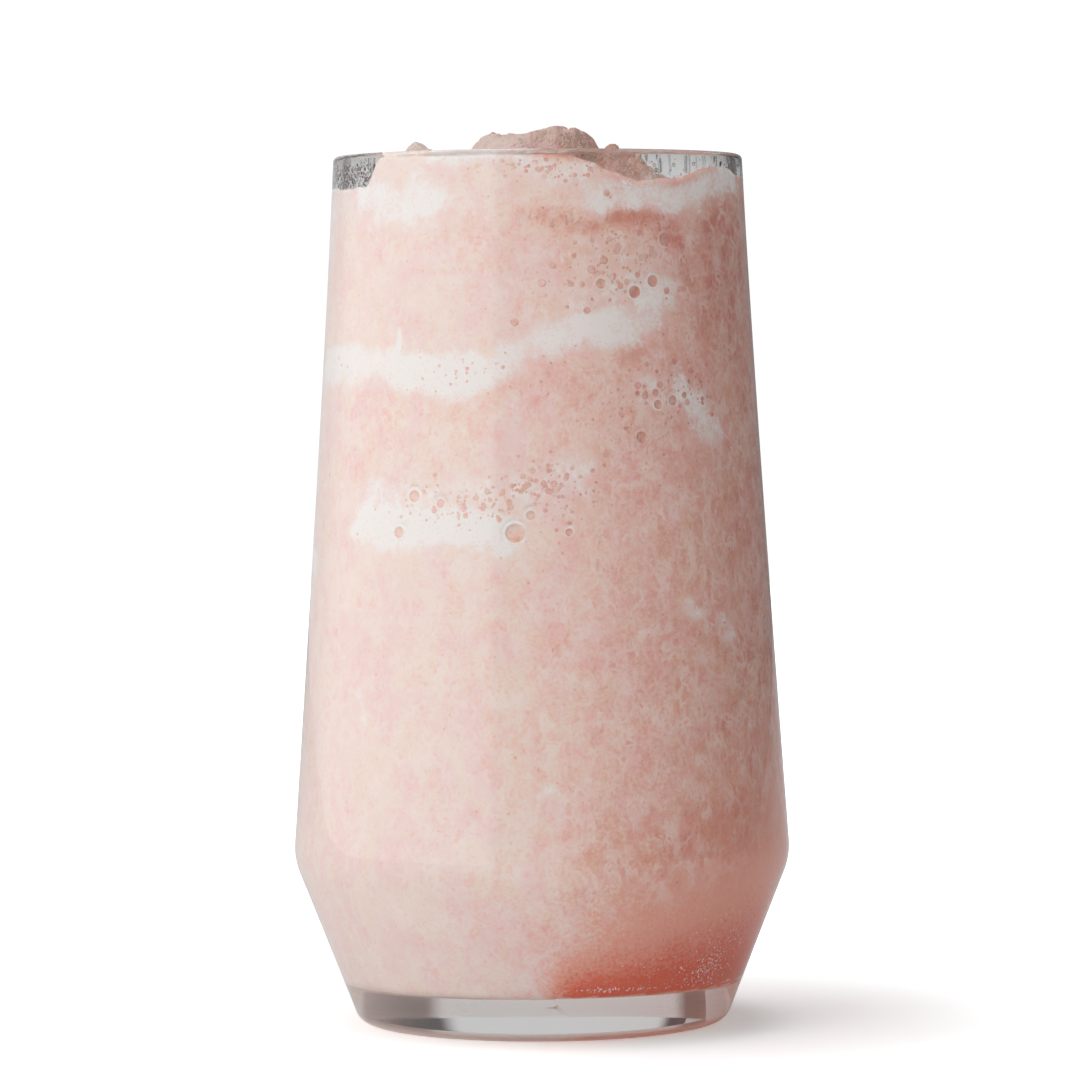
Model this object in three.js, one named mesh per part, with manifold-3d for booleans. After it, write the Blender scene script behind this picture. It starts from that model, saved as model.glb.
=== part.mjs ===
// A strawberry smoothie in its tall clear glass.
// Three pieces: the glass, the blended drink that fills it, and the strawberry syrup that has sunk
// to one side of the floor. Millimetres, +Z up. The origin is the middle of the glass's underside,
// the front faces -Y and the syrup lies on the +X side.
import * as THREE from 'three';
import { mergeVertices } from 'three/addons/utils/BufferGeometryUtils.js';
import Module from 'manifold-3d';

const wasm = await Module();
wasm.setup();

// Glass
const glassHeight = 140;
const rimRadius = 33;
const shoulderRadius = 40.05; // the widest place
const shoulderHeight = 29.4;
const wallBow = 1.13; // 1 would make the upper wall a straight taper
const shoulderRounding = 11;
const coneFootRadius = 29.65; // where the lower cone would meet the table
const coneAngle = THREE.MathUtils.degToRad(21.6); // from upright
const footRounding = 3;
const wallAtRim = 1.8;
const wallAtShoulder = 2.4;
const baseThickness = 7.6;
const floorRounding = 1.5;
const stepsAround = 64;

// What fills the glass
const gap = 0.3; // between pieces that touch
const brimDrop = 0.95; // the drink's edge below the rim where it is brimful
const sagDrop = 4.8; // where the edge sags, right of the middle
const clingDrop = 2.8; // where it clings to the wall, further round to the right
const edgeDepth = 5.5; // the edge below the rim everywhere else
const moatDepth = 6.2; // the free surface below the rim, beside and behind the mound
const edgeWidth = 4.5; // over which the free surface rises to its edge

// Syrup: a wedge on the floor, from its toe out to the +X wall
const syrupToe = 1.5;
const syrupShelf = 7.5; // height above the floor that it reaches soon after the toe
const syrupShelfLength = 4;
const syrupClimb = 11.5; // further rise along the wall
const syrupReach = 36;
const syrupClimbPower = 2.5;

// Places on the plan are given by an angle from the front, positive towards +X
const angleAt = (x, y) => THREE.MathUtils.radToDeg(Math.atan2(x, -y));
const smooth = (low, high, value) => THREE.MathUtils.smoothstep(value, low, high);

// Radius of the glass's outer wall above the shoulder
function outerWall(z) {
  const share = (glassHeight - z) / (glassHeight - shoulderHeight);
  return rimRadius + (shoulderRadius - rimRadius) * Math.pow(Math.max(share, 0), wallBow);
}

// Radius of the glass's outer wall on the lower cone
function outerCone(z) {
  return coneFootRadius + z * Math.tan(coneAngle);
}

function wallThickness(z) {
  const share = (z - shoulderHeight) / (glassHeight - shoulderHeight);
  return THREE.MathUtils.lerp(wallAtShoulder, wallAtRim, share);
}

// Height where the cone and the upper wall would cross, found by halving
function crossingHeight(coneRadius, wallRadius) {
  let low = 0;
  let high = shoulderHeight + shoulderRounding;
  for (let step = 0; step < 30; step++) {
    const middle = (low + high) / 2;
    if (coneRadius(middle) < wallRadius(middle)) low = middle;
    else high = middle;
  }
  return low;
}

// Points of the round between two straight stretches of a profile
function roundedCorner(before, corner, after, radius, steps) {
  const towardsBefore = before.clone().sub(corner).normalize();
  const towardsAfter = after.clone().sub(corner).normalize();
  const halfAngle = Math.acos(towardsBefore.dot(towardsAfter)) / 2;
  const bisector = towardsBefore.clone().add(towardsAfter).normalize();
  const centre = corner.clone().add(bisector.multiplyScalar(radius / Math.sin(halfAngle)));
  const tangentLength = radius / Math.tan(halfAngle);
  const first = corner.clone().add(towardsBefore.multiplyScalar(tangentLength)).sub(centre);
  const last = corner.clone().add(towardsAfter.multiplyScalar(tangentLength)).sub(centre);
  const turn = Math.atan2(first.cross(last), first.dot(last));
  const points = [];
  for (let step = 0; step <= steps; step++) {
    const angle = (turn * step) / steps;
    points.push(first.clone().rotateAround(new THREE.Vector2(0, 0), angle).add(centre));
  }
  return points;
}

// The floor, the round, the cone and the shoulder of the hollow, set inwards by an amount
function hollowProfile(inset) {
  const floor = baseThickness + inset;
  const coneInset = (wallAtShoulder + inset) / Math.cos(coneAngle);
  const cone = (z) => outerCone(z) - coneInset;
  const wall = (z) => outerWall(z) - wallThickness(z) - inset;
  const shoulder = crossingHeight(cone, wall);
  const floorCorner = new THREE.Vector2(cone(floor), floor);
  const shoulderCorner = new THREE.Vector2(cone(shoulder), shoulder);
  const above = new THREE.Vector2(wall(shoulder + shoulderRounding), shoulder + shoulderRounding);
  const centre = new THREE.Vector2(0, floor);
  const lower = [
    ...roundedCorner(centre, floorCorner, shoulderCorner, floorRounding - inset, 4),
    ...roundedCorner(floorCorner, shoulderCorner, above, shoulderRounding - inset, 4),
  ];
  return { floor, lower, wall };
}

// Turns a profile of (radius, height) round the upright axis
function turned(profile) {
  const geometry = new THREE.LatheGeometry(profile, stepsAround);
  geometry.rotateX(Math.PI / 2);
  return closed(geometry);
}

// Leaves only positions, with the vertices that lie together made one
function closed(geometry) {
  geometry.deleteAttribute('normal');
  geometry.deleteAttribute('uv');
  return mergeVertices(geometry, 1e-4);
}

function makeGlassGeometry() {
  const wallSteps = 9;
  const outer = crossingHeight(outerCone, outerWall);
  const foot = new THREE.Vector2(coneFootRadius, 0);
  const shoulder = new THREE.Vector2(outerCone(outer), outer);
  const above = new THREE.Vector2(outerWall(outer + shoulderRounding), outer + shoulderRounding);
  const centre = new THREE.Vector2(0, 0);
  const profile = [
    centre,
    ...roundedCorner(centre, foot, shoulder, footRounding, 4),
    ...roundedCorner(foot, shoulder, above, shoulderRounding, 4),
  ];
  const lip = wallAtRim / 2;
  const lipHeight = glassHeight - lip;
  const outerStart = profile.at(-1).y;
  for (let step = 1; step < wallSteps; step++) {
    const z = THREE.MathUtils.lerp(outerStart, lipHeight, step / wallSteps);
    profile.push(new THREE.Vector2(outerWall(z), z));
  }
  const lipSteps = 6;
  for (let step = 0; step <= lipSteps; step++) {
    const angle = (Math.PI * step) / lipSteps;
    const radius = rimRadius - lip + lip * Math.cos(angle);
    profile.push(new THREE.Vector2(radius, lipHeight + lip * Math.sin(angle)));
  }
  const hollow = hollowProfile(0);
  const innerStart = hollow.lower.at(-1).y;
  for (let step = wallSteps - 1; step > 0; step--) {
    const z = THREE.MathUtils.lerp(innerStart, lipHeight, step / wallSteps);
    profile.push(new THREE.Vector2(hollow.wall(z), z));
  }
  profile.push(...hollow.lower.reverse());
  profile.push(new THREE.Vector2(0, hollow.floor));
  return turned(profile);
}

// How far the drink's edge is below the rim, for an angle from the front.
// It is brimful from the front left to the middle, sags and then clings to the wall again further
// round to the right, and lies near the free surface elsewhere.
function edgeDrop(angle) {
  const brimful = smooth(-57, -50, angle) * (1 - smooth(6, 30, angle));
  const sag = smooth(6, 30, angle) * (1 - smooth(38, 58, angle));
  const cling = smooth(38, 58, angle) * (1 - smooth(62, 104, angle));
  const elsewhere = Math.max(1 - brimful - sag - cling, 0);
  return brimDrop * brimful + sagDrop * sag + clingDrop * cling + edgeDepth * elsewhere;
}

// A soft hill: its height at the middle, falling off over the given half-widths.
// A higher power makes a flatter top with steeper sides.
function hill(x, y, { at, wide, deep, height, power = 2 }) {
  const across = Math.abs((x - at[0]) / wide);
  const along = Math.abs((y - at[1]) / deep);
  return height * Math.exp(-Math.pow(across * across + along * along, power / 2));
}

// Hills of the slushy top, with their heights above the free surface
const mound = { at: [-0.6, -5], wide: 12.2, deep: 14, height: moatDepth + 2.7, power: 8 };
const crest = { at: [3.4, -6], wide: 5.4, deep: 8, height: 1.4, power: 2.6 };
const flank = { at: [9, -5], wide: 12, deep: 11, height: moatDepth - 0.9, power: 4 };
const frontShelf = { at: [-9, -22], wide: 19, deep: 11, height: moatDepth - 0.6, power: 6 };
const leftKnob = { at: [-18.9, -18], wide: 4.2, deep: 5, height: moatDepth + 1.35, power: 2 };
const rightKnob = { at: [12, -6], wide: 2.2, deep: 3.6, height: moatDepth + 1.3, power: 4 };
const lowerHills = [flank, frontShelf, leftKnob, rightKnob];

// Crags of the blended ice: lumps between two crossing trains of waves, and broad folds round a
// place at the back left, both on a plan bent by slow waves so that they aren't regular
function crags(x, y) {
  const bentX = x + 1.3 * Math.sin(0.31 * y + 0.5 * Math.sin(0.2 * x));
  const bentY = y + 1.1 * Math.sin(0.37 * x + 1.7);
  const lumps = Math.sin(0.95 * bentX + 0.4 * bentY) * Math.sin(0.9 * bentY - 0.35 * bentX);
  const folds = Math.sin(0.55 * Math.hypot(bentX + 9, bentY - 14) + 0.6);
  return 0.26 * lumps + 0.24 * folds;
}

// Height of the drink's top. The hills are joined by a soft maximum, the fifth root of the sum of
// fifth powers, and near the wall the top runs into the edge that lies against the glass.
function topHeight(x, y, wallRadius) {
  const sharpness = 5;
  const peak = hill(x, y, mound) + hill(x, y, crest);
  let sum = Math.pow(peak, sharpness);
  for (const shape of lowerHills) sum += Math.pow(hill(x, y, shape), sharpness);
  const inside = Math.pow(sum, 1 / sharpness) + crags(x, y);
  const edge = moatDepth - edgeDrop(angleAt(x, y));
  const share = smooth(0, edgeWidth, wallRadius - Math.hypot(x, y));
  return glassHeight - moatDepth + THREE.MathUtils.lerp(edge, inside, share);
}

// A closed surface from rows of points round the axis, with a single point at each end
function closedRows(bottom, rows, top) {
  const positions = [bottom, ...rows.flat(), top].flat();
  const around = rows[0].length;
  const topIndex = 1 + rows.length * around;
  const at = (row, column) => 1 + row * around + (column % around);
  const faces = [];
  for (let column = 0; column < around; column++) {
    faces.push(0, at(0, column + 1), at(0, column));
    faces.push(topIndex, at(rows.length - 1, column), at(rows.length - 1, column + 1));
    for (let row = 0; row < rows.length - 1; row++) {
      faces.push(at(row, column), at(row, column + 1), at(row + 1, column + 1));
      faces.push(at(row, column), at(row + 1, column + 1), at(row + 1, column));
    }
  }
  const geometry = new THREE.BufferGeometry();
  geometry.setAttribute('position', new THREE.Float32BufferAttribute(positions, 3));
  geometry.setIndex(faces);
  return geometry;
}

// The whole drink, syrup included: the hollow's lower part, the wall up to the drink's edge,
// then rings inwards over the top
function makeFillGeometry() {
  const hollow = hollowProfile(gap);
  const wallSteps = 11;
  const topSteps = 15;
  const columns = [];
  for (let column = 0; column < stepsAround; column++) {
    const turn = (2 * Math.PI * column) / stepsAround;
    const place = (radius, z) => [radius * Math.cos(turn), radius * Math.sin(turn), z];
    const points = hollow.lower.map((point) => place(point.x, point.y));
    const start = hollow.lower.at(-1).y;
    const [outX, outY] = place(rimRadius, 0);
    const edge = glassHeight - edgeDrop(angleAt(outX, outY));
    for (let step = 1; step <= wallSteps; step++) {
      const z = THREE.MathUtils.lerp(start, edge, step / wallSteps);
      points.push(place(hollow.wall(z), z));
    }
    const wallRadius = hollow.wall(edge);
    for (let step = 1; step < topSteps; step++) {
      const radius = wallRadius * (1 - step / topSteps);
      const [x, y] = place(radius, 0);
      points.push([x, y, topHeight(x, y, wallRadius)]);
    }
    columns.push(points);
  }
  const rows = columns[0].map((point, row) => columns.map((points) => points[row]));
  const bottom = [0, 0, hollow.floor];
  const top = [0, 0, topHeight(0, 0, rimRadius)];
  return closedRows(bottom, rows, top);
}

// Height of the syrup above the hollow's floor, at a distance towards the +X wall
function syrupHeight(x) {
  const along = Math.max(x - syrupToe, 0);
  const shelf = syrupShelf * (1 - Math.exp(-along / syrupShelfLength));
  return shelf + syrupClimb * Math.pow(along / syrupReach, syrupClimbPower);
}

// A block under the syrup's surface, wider than the glass, moved out by an amount
function makeSyrupBlock(grow) {
  const reach = 1.2 * shoulderRadius;
  const steps = 18;
  const shape = new THREE.Shape();
  shape.moveTo(reach, 0);
  for (let step = steps; step >= 0; step--) {
    const x = THREE.MathUtils.lerp(syrupToe, reach, Math.pow(step / steps, 1.6));
    shape.lineTo(x - grow, baseThickness + syrupHeight(x) + grow);
  }
  shape.lineTo(syrupToe - grow, 0);
  shape.closePath();
  const block = new THREE.ExtrudeGeometry(shape, { depth: 2 * reach, bevelEnabled: false });
  block.translate(0, 0, -reach);
  block.rotateX(Math.PI / 2);
  return closed(block);
}

function toSolid(geometry) {
  const vertProperties = new Float32Array(geometry.attributes.position.array);
  const triVerts = new Uint32Array(geometry.index.array);
  return new wasm.Manifold(new wasm.Mesh({ numProp: 3, vertProperties, triVerts }));
}

function toGeometry(solid) {
  const mesh = solid.getMesh();
  const geometry = new THREE.BufferGeometry();
  geometry.setAttribute('position', new THREE.BufferAttribute(mesh.vertProperties, 3));
  geometry.setIndex(new THREE.BufferAttribute(mesh.triVerts, 1));
  return geometry;
}

// The largest air bubbles, each a hollow in the drink where it lies against the glass.
// angle is from the front in degrees; the others are millimetres.
const bubbles = [
  { angle: -6.3, z: 80.2, radius: 1.5 },
  { angle: 37.6, z: 125.8, radius: 1.1 },
  { angle: 27.1, z: 117.6, radius: 1.0 },
  { angle: 32.9, z: 119.3, radius: 0.95 },
  { angle: -34.1, z: 85.9, radius: 0.95 },
  { angle: 27.8, z: 94.9, radius: 0.95 },
  { angle: -38.7, z: 80.2, radius: 0.9 },
  { angle: 17.3, z: 118.9, radius: 0.8 },
];

function makeBubble({ angle, z, radius }) {
  const turn = THREE.MathUtils.degToRad(angle);
  const wall = hollowProfile(gap).wall(z);
  const ball = closed(new THREE.IcosahedronGeometry(radius, 1));
  ball.translate(wall * Math.sin(turn), -wall * Math.cos(turn), z);
  return toSolid(ball);
}

function makeDrinkGeometries() {
  const fill = toSolid(makeFillGeometry());
  const syrup = fill.intersect(toSolid(makeSyrupBlock(0)));
  let smoothie = fill.subtract(toSolid(makeSyrupBlock(gap)));
  for (const bubble of bubbles) smoothie = smoothie.subtract(makeBubble(bubble));
  return { smoothie: toGeometry(smoothie), syrup: toGeometry(syrup) };
}

function makeMesh(name, geometry, finish) {
  const mesh = new THREE.Mesh(geometry, new THREE.MeshStandardMaterial(finish));
  mesh.name = name;
  return mesh;
}

const clearGlass = {
  color: 0xdfe3e2,
  roughness: 0.03,
  metalness: 0,
  transparent: true,
  opacity: 0.35,
};
const pinkSlush = { color: 0xe0bcb0, roughness: 0.5, metalness: 0 };
const redSyrup = { color: 0xa8583f, roughness: 0.3, metalness: 0 };

const drink = makeDrinkGeometries();
const group = new THREE.Group();
group.add(makeMesh('glass', makeGlassGeometry(), clearGlass));
group.add(makeMesh('smoothie', drink.smoothie, pinkSlush));
group.add(makeMesh('strawberry_syrup', drink.syrup, redSyrup));

export default group;
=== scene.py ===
import math

import bpy
import numpy as np
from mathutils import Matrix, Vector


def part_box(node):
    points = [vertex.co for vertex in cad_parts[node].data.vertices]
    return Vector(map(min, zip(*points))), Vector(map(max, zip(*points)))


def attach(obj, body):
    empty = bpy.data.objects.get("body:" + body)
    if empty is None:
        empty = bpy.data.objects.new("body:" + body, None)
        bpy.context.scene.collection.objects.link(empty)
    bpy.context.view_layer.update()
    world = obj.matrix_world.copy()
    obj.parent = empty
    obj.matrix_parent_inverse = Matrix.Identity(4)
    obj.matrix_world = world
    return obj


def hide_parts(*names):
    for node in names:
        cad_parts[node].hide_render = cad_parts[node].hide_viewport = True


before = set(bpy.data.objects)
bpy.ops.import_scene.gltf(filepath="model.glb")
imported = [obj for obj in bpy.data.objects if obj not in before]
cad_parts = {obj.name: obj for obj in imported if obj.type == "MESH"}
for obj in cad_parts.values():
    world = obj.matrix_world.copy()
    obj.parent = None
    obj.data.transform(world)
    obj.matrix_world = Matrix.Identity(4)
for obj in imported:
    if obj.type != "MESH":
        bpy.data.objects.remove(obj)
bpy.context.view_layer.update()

# A strawberry smoothie in its tall glass. Shapes are worked out in millimetres and put into
# meshes in metres. Angles are in degrees from the front, -Y, and grow towards +X, the syrup side.
metresPerMm = 0.001
vesselLow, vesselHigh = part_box("glass")

vessel = {
    "height": round(vesselHigh[2] / metresPerMm, 2),
    "rimRadius": 33.0,
    "shoulderRadius": 40.05,  # the widest place
    "shoulderHeight": 29.4,
    "wallBow": 1.13,  # 1 would make the upper wall a straight taper
    "shoulderRounding": 11.0,
    "coneFootRadius": 29.65,  # where the lower cone would meet the table
    "coneAngle": math.radians(21.6),  # from upright
    "footRounding": 3.0,
    "wallAtRim": 1.8,
    "wallAtShoulder": 2.4,
    "baseThickness": 7.6,
    "floorRounding": 1.5,
    "around": 224,
}


# Number helpers

# 0 below low, 1 above high, and an S-shaped rise between
def smooth(low, high, value):
    share = np.clip((value - low) / (high - low), 0.0, 1.0)
    return share * share * (3.0 - 2.0 * share)


def mixed(first, second, share):
    return first + (second - first) * share


# degrees from the front, growing towards +X
def angleAt(x, y):
    return np.degrees(np.arctan2(x, -y))


# a repeatable number from 0 to 1 for each whole-number place, by mixing the bits of its three
# coordinates and the seed
def latticeValue(ix, iy, iz, seed):
    mixers = (0x8DA6B343, 0xD8163841, 0xCB1AB31F, 0x9E3779B9)
    code = (ix * mixers[0]) ^ (iy * mixers[1]) ^ (iz * mixers[2]) ^ (seed * mixers[3])
    code = code & 0xFFFFFFFF
    code = ((code ^ (code >> 15)) * 0x2C1B3C6D) & 0xFFFFFFFF
    code = ((code ^ (code >> 12)) * 0x297A2D39) & 0xFFFFFFFF
    return ((code ^ (code >> 15)) & 0xFFFFFF) / float(0xFFFFFF)


# smooth noise from 0 to 1: lattice values a cell apart, blended in between by an S-shaped share
def softNoise(x, y, z, cell, seed):
    places = [np.asarray(v, dtype=np.float64) / cell for v in (x, y, z)]
    whole = [np.floor(v).astype(np.int64) for v in places]
    shares = [p - w for p, w in zip(places, whole)]
    shares = [s * s * (3.0 - 2.0 * s) for s in shares]
    total = 0.0
    for corner in range(8):
        steps = [(corner >> bit) & 1 for bit in range(3)]
        weight = 1.0
        for step, share in zip(steps, shares):
            weight = weight * (share if step else 1.0 - share)
        total = total + weight * latticeValue(*[w + s for w, s in zip(whole, steps)], seed)
    return total


# noise of several sizes added up, each half as coarse and half as strong as the one before
def cloud(x, y, z, cell, layers, seed):
    total, weights = 0.0, 0.0
    for layer in range(layers):
        weight = 0.5 ** layer
        total = total + weight * softNoise(x, y, z, cell * 0.5 ** layer, seed + layer)
        weights += weight
    return total / weights


# Mesh helpers

# the faces of a grid of rows that close on themselves, with a single point at each end
def gridFaces(rowCount, around):
    column = np.arange(around)
    following = (column + 1) % around
    row = np.arange(rowCount - 1)[:, None] * around + 1
    quads = np.stack([row + column, row + following, row + around + following, row + around + column], -1)
    lastRow = (rowCount - 1) * around + 1
    endPoint = rowCount * around + 1
    startFan = np.stack([np.zeros_like(column), following + 1, column + 1], -1)
    endFan = np.stack([lastRow + column, lastRow + following, np.full_like(column, endPoint)], -1)
    return quads.reshape(-1, 4), np.concatenate([startFan, endFan])


# a mesh object from points in millimetres, its quads and its triangles, shaded smooth
def makeMesh(name, points, quads, triangles):
    loops = np.concatenate([quads.ravel(), triangles.ravel()]).astype(np.int32)
    sizes = np.concatenate([np.full(len(quads), 4), np.full(len(triangles), 3)]).astype(np.int32)
    starts = np.concatenate([[0], np.cumsum(sizes)[:-1]]).astype(np.int32)
    mesh = bpy.data.meshes.new(name)
    mesh.vertices.add(len(points))
    mesh.vertices.foreach_set("co", (points * metresPerMm).astype(np.float32).ravel())
    mesh.loops.add(len(loops))
    mesh.loops.foreach_set("vertex_index", loops)
    mesh.polygons.add(len(sizes))
    mesh.polygons.foreach_set("loop_start", starts)
    mesh.polygons.foreach_set("loop_total", sizes)
    mesh.polygons.foreach_set("use_smooth", np.ones(len(sizes), dtype=bool))
    mesh.update(calc_edges=True)
    mesh.validate()
    made = bpy.data.objects.new(name, mesh)
    bpy.context.scene.collection.objects.link(made)
    return made


# rows is (row, column, 3), the two ends are single points
def meshFromRows(name, rows, startPoint, endPoint):
    quads, fans = gridFaces(rows.shape[0], rows.shape[1])
    points = np.concatenate([[startPoint], rows.reshape(-1, 3), [endPoint]])
    return makeMesh(name, points, quads, fans)


# many copies of one closed grid in one mesh; copies is (copy, row, column, 3), ends (copy, 3)
def meshFromCopies(name, copies, startPoints, endPoints):
    count, rowCount, around = copies.shape[:3]
    quads, fans = gridFaces(rowCount, around)
    points = np.concatenate([startPoints[:, None], copies.reshape(count, -1, 3), endPoints[:, None]], 1)
    shift = (np.arange(count) * points.shape[1])[:, None, None]
    allQuads = (quads[None] + shift).reshape(-1, 4)
    allFans = (fans[None] + shift).reshape(-1, 3)
    return makeMesh(name, points.reshape(-1, 3), allQuads, allFans)


# four numbers for each vertex, under a name that a material can read
def paintTones(made, name, tones):
    layer = made.data.attributes.new(name, "FLOAT_COLOR", "POINT")
    layer.data.foreach_set("color", tones.astype(np.float32).ravel())


# a profile of (radius, height) carried once round the upright axis
def turnedRows(profile, around):
    turn = np.linspace(0.0, 2.0 * math.pi, around, endpoint=False)
    radius, height = profile[:, 0][:, None], profile[:, 1][:, None]
    return np.stack([radius * np.cos(turn), radius * np.sin(turn), height + 0.0 * turn], -1)


# The glass

# radius of the outer wall above the shoulder: the rim's, growing downwards by a bowed taper
def outerWall(z):
    share = np.maximum((vessel["height"] - z) / (vessel["height"] - vessel["shoulderHeight"]), 0.0)
    return vessel["rimRadius"] + (vessel["shoulderRadius"] - vessel["rimRadius"]) * share ** vessel["wallBow"]


# radius of the outer wall on the lower cone: a straight line outwards
def outerCone(z):
    return vessel["coneFootRadius"] + z * math.tan(vessel["coneAngle"])


def wallThickness(z):
    share = (z - vessel["shoulderHeight"]) / (vessel["height"] - vessel["shoulderHeight"])
    return mixed(vessel["wallAtShoulder"], vessel["wallAtRim"], share)


# height where the cone and the upper wall would cross, found by halving
def crossingHeight(coneRadius, wallRadius):
    low, high = 0.0, vessel["shoulderHeight"] + vessel["shoulderRounding"]
    for step in range(40):
        middle = (low + high) / 2.0
        if coneRadius(middle) < wallRadius(middle):
            low = middle
        else:
            high = middle
    return low


# the arc that is tangent to both straight stretches that meet in a corner
def roundedCorner(before, corner, after, radius, steps):
    before, corner, after = (np.array(p, dtype=float) for p in (before, corner, after))
    towardsBefore = (before - corner) / np.linalg.norm(before - corner)
    towardsAfter = (after - corner) / np.linalg.norm(after - corner)
    halfAngle = math.acos(float(towardsBefore @ towardsAfter)) / 2.0
    bisector = (towardsBefore + towardsAfter) / np.linalg.norm(towardsBefore + towardsAfter)
    centre = corner + bisector * radius / math.sin(halfAngle)
    tangentLength = radius / math.tan(halfAngle)
    first = corner + towardsBefore * tangentLength - centre
    last = corner + towardsAfter * tangentLength - centre
    turn = math.atan2(first[0] * last[1] - first[1] * last[0], float(first @ last))
    angle = np.linspace(0.0, turn, steps)[:, None]
    perpendicular = np.array([-first[1], first[0]])
    return centre + first * np.cos(angle) + perpendicular * np.sin(angle)


# the hollow's floor round, cone and shoulder round, set inwards by an amount
def hollowLower(inset, steps):
    floor = vessel["baseThickness"] + inset
    coneInset = (vessel["wallAtShoulder"] + inset) / math.cos(vessel["coneAngle"])
    cone = lambda z: outerCone(z) - coneInset
    wall = lambda z: hollowWall(z, inset)
    shoulder = crossingHeight(cone, wall)
    above = shoulder + vessel["shoulderRounding"]
    floorCorner, shoulderCorner = (cone(floor), floor), (cone(shoulder), shoulder)
    floorRound = roundedCorner(
        (0.0, floor), floorCorner, shoulderCorner, vessel["floorRounding"] - inset, steps
    )
    shoulderRound = roundedCorner(
        floorCorner, shoulderCorner, (wall(above), above), vessel["shoulderRounding"] - inset, steps
    )
    return np.concatenate([floorRound, shoulderRound])


def hollowWall(z, inset):
    return outerWall(z) - wallThickness(z) - inset


# the same points spread evenly along the profile
def evenly(profile, count):
    lengths = np.concatenate([[0.0], np.cumsum(np.linalg.norm(np.diff(profile, axis=0), axis=1))])
    wanted = np.linspace(0.0, lengths[-1], count)
    return np.stack([np.interp(wanted, lengths, profile[:, k]) for k in range(2)], 1)


# the whole section turned once round: underside, foot round, cone, shoulder, wall, full round lip, and
# back down inside; the flats are split near their rims, so that the rounds stay crisp
def makeGlass():
    steps, wallSteps = 14, 44
    shoulder = crossingHeight(outerCone, outerWall)
    above = shoulder + vessel["shoulderRounding"]
    foot, corner = (vessel["coneFootRadius"], 0.0), (outerCone(shoulder), shoulder)
    footRound = roundedCorner((0.0, 0.0), foot, corner, vessel["footRounding"], steps)
    shoulderRound = roundedCorner(foot, corner, (outerWall(above), above), vessel["shoulderRounding"], steps)
    lip = vessel["wallAtRim"] / 2.0
    lipHeight = vessel["height"] - lip
    outside = np.linspace(shoulderRound[-1, 1], lipHeight, wallSteps)[1:-1]
    inner = hollowLower(0.0, steps)
    inside = np.linspace(inner[-1, 1], lipHeight, wallSteps)[1:-1]
    turn = np.linspace(0.0, math.pi, 15)
    lipRound = np.stack([vessel["rimRadius"] - lip + lip * np.cos(turn), lipHeight + lip * np.sin(turn)], 1)
    flat = np.array([0.5, 0.9, 0.97])[:, None]
    profile = np.concatenate([
        footRound[:1] * flat,
        footRound,
        evenly(np.array([footRound[-1], shoulderRound[0]]), 8)[1:-1],
        shoulderRound,
        np.stack([outerWall(outside), outside], 1),
        lipRound,
        np.stack([hollowWall(inside, 0.0), inside], 1)[::-1],
        inner[::-1],
        np.concatenate([inner[:1, :1] * flat[::-1], inner[:1, 1:] + 0.0 * flat], 1),
    ])
    rows = turnedRows(profile, vessel["around"])
    return meshFromRows("glassBody", rows, (0.0, 0.0, 0.0), (0.0, 0.0, vessel["baseThickness"]))


glassBody = makeGlass()
print("glass made")


# The drink

drink = {
    "reach": 0.12,  # into the wall of the glass, so that no air shows between
    "brimDrop": 0.95,  # the edge below the rim where the drink is brimful
    "sagDrop": 4.8,  # where the edge sags, right of the middle
    "clingDrop": 2.8,  # where it clings to the wall, further round to the right
    "edgeDepth": 5.5,  # the edge below the rim everywhere else
    "moatDepth": 6.2,  # the free surface below the rim, beside and behind the mound
    "edgeWidth": 4.5,  # over which the free surface rises to its edge
    "unevenEdge": 1.1,  # how far noise moves the edge up and down
    "tallest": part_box("smoothie")[1][2] / metresPerMm,
    "softness": 0.22,  # over which the top bends below the tallest place
    "around": 384,
    "floorRows": 8,
    "lowerRows": 36,
    "wallRows": 142,
    "topRows": 68,
}

# half-widths across and along, height over the free surface, and how steep the sides are; a height
# counted from the moat's depth stands that much over the rim
moat = drink["moatDepth"]
hills = {
    "mound": {"at": (-0.6, -5.0), "wide": 12.2, "deep": 14.0, "height": moat + 2.7, "power": 8},
    "crest": {"at": (3.4, -6.0), "wide": 5.4, "deep": 8.0, "height": 1.4, "power": 2.6},
    "flank": {"at": (9.0, -5.0), "wide": 12.0, "deep": 11.0, "height": moat - 0.9, "power": 4},
    "frontShelf": {"at": (-9.0, -22.0), "wide": 19.0, "deep": 11.0, "height": moat - 0.6, "power": 6},
    "leftKnob": {"at": (-18.9, -18.0), "wide": 4.2, "deep": 5.0, "height": moat + 1.35, "power": 2},
    "rightKnob": {"at": (12.0, -6.0), "wide": 2.2, "deep": 3.6, "height": moat + 1.3, "power": 4},
}

syrupPool = {
    "toe": 1.5,
    "overlap": 0.9,  # by which the drink reaches down into it, so that no gap shows
    "inset": 0.015,  # further from the glass than the drink
    "shelf": 7.5,  # height above the floor that it reaches soon after the toe
    "shelfLength": 4.0,
    "climb": 11.5,  # further rise along the wall
    "climbReach": 36.0,
    "climbPower": 2.5,
    "around": 260,
}


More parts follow.
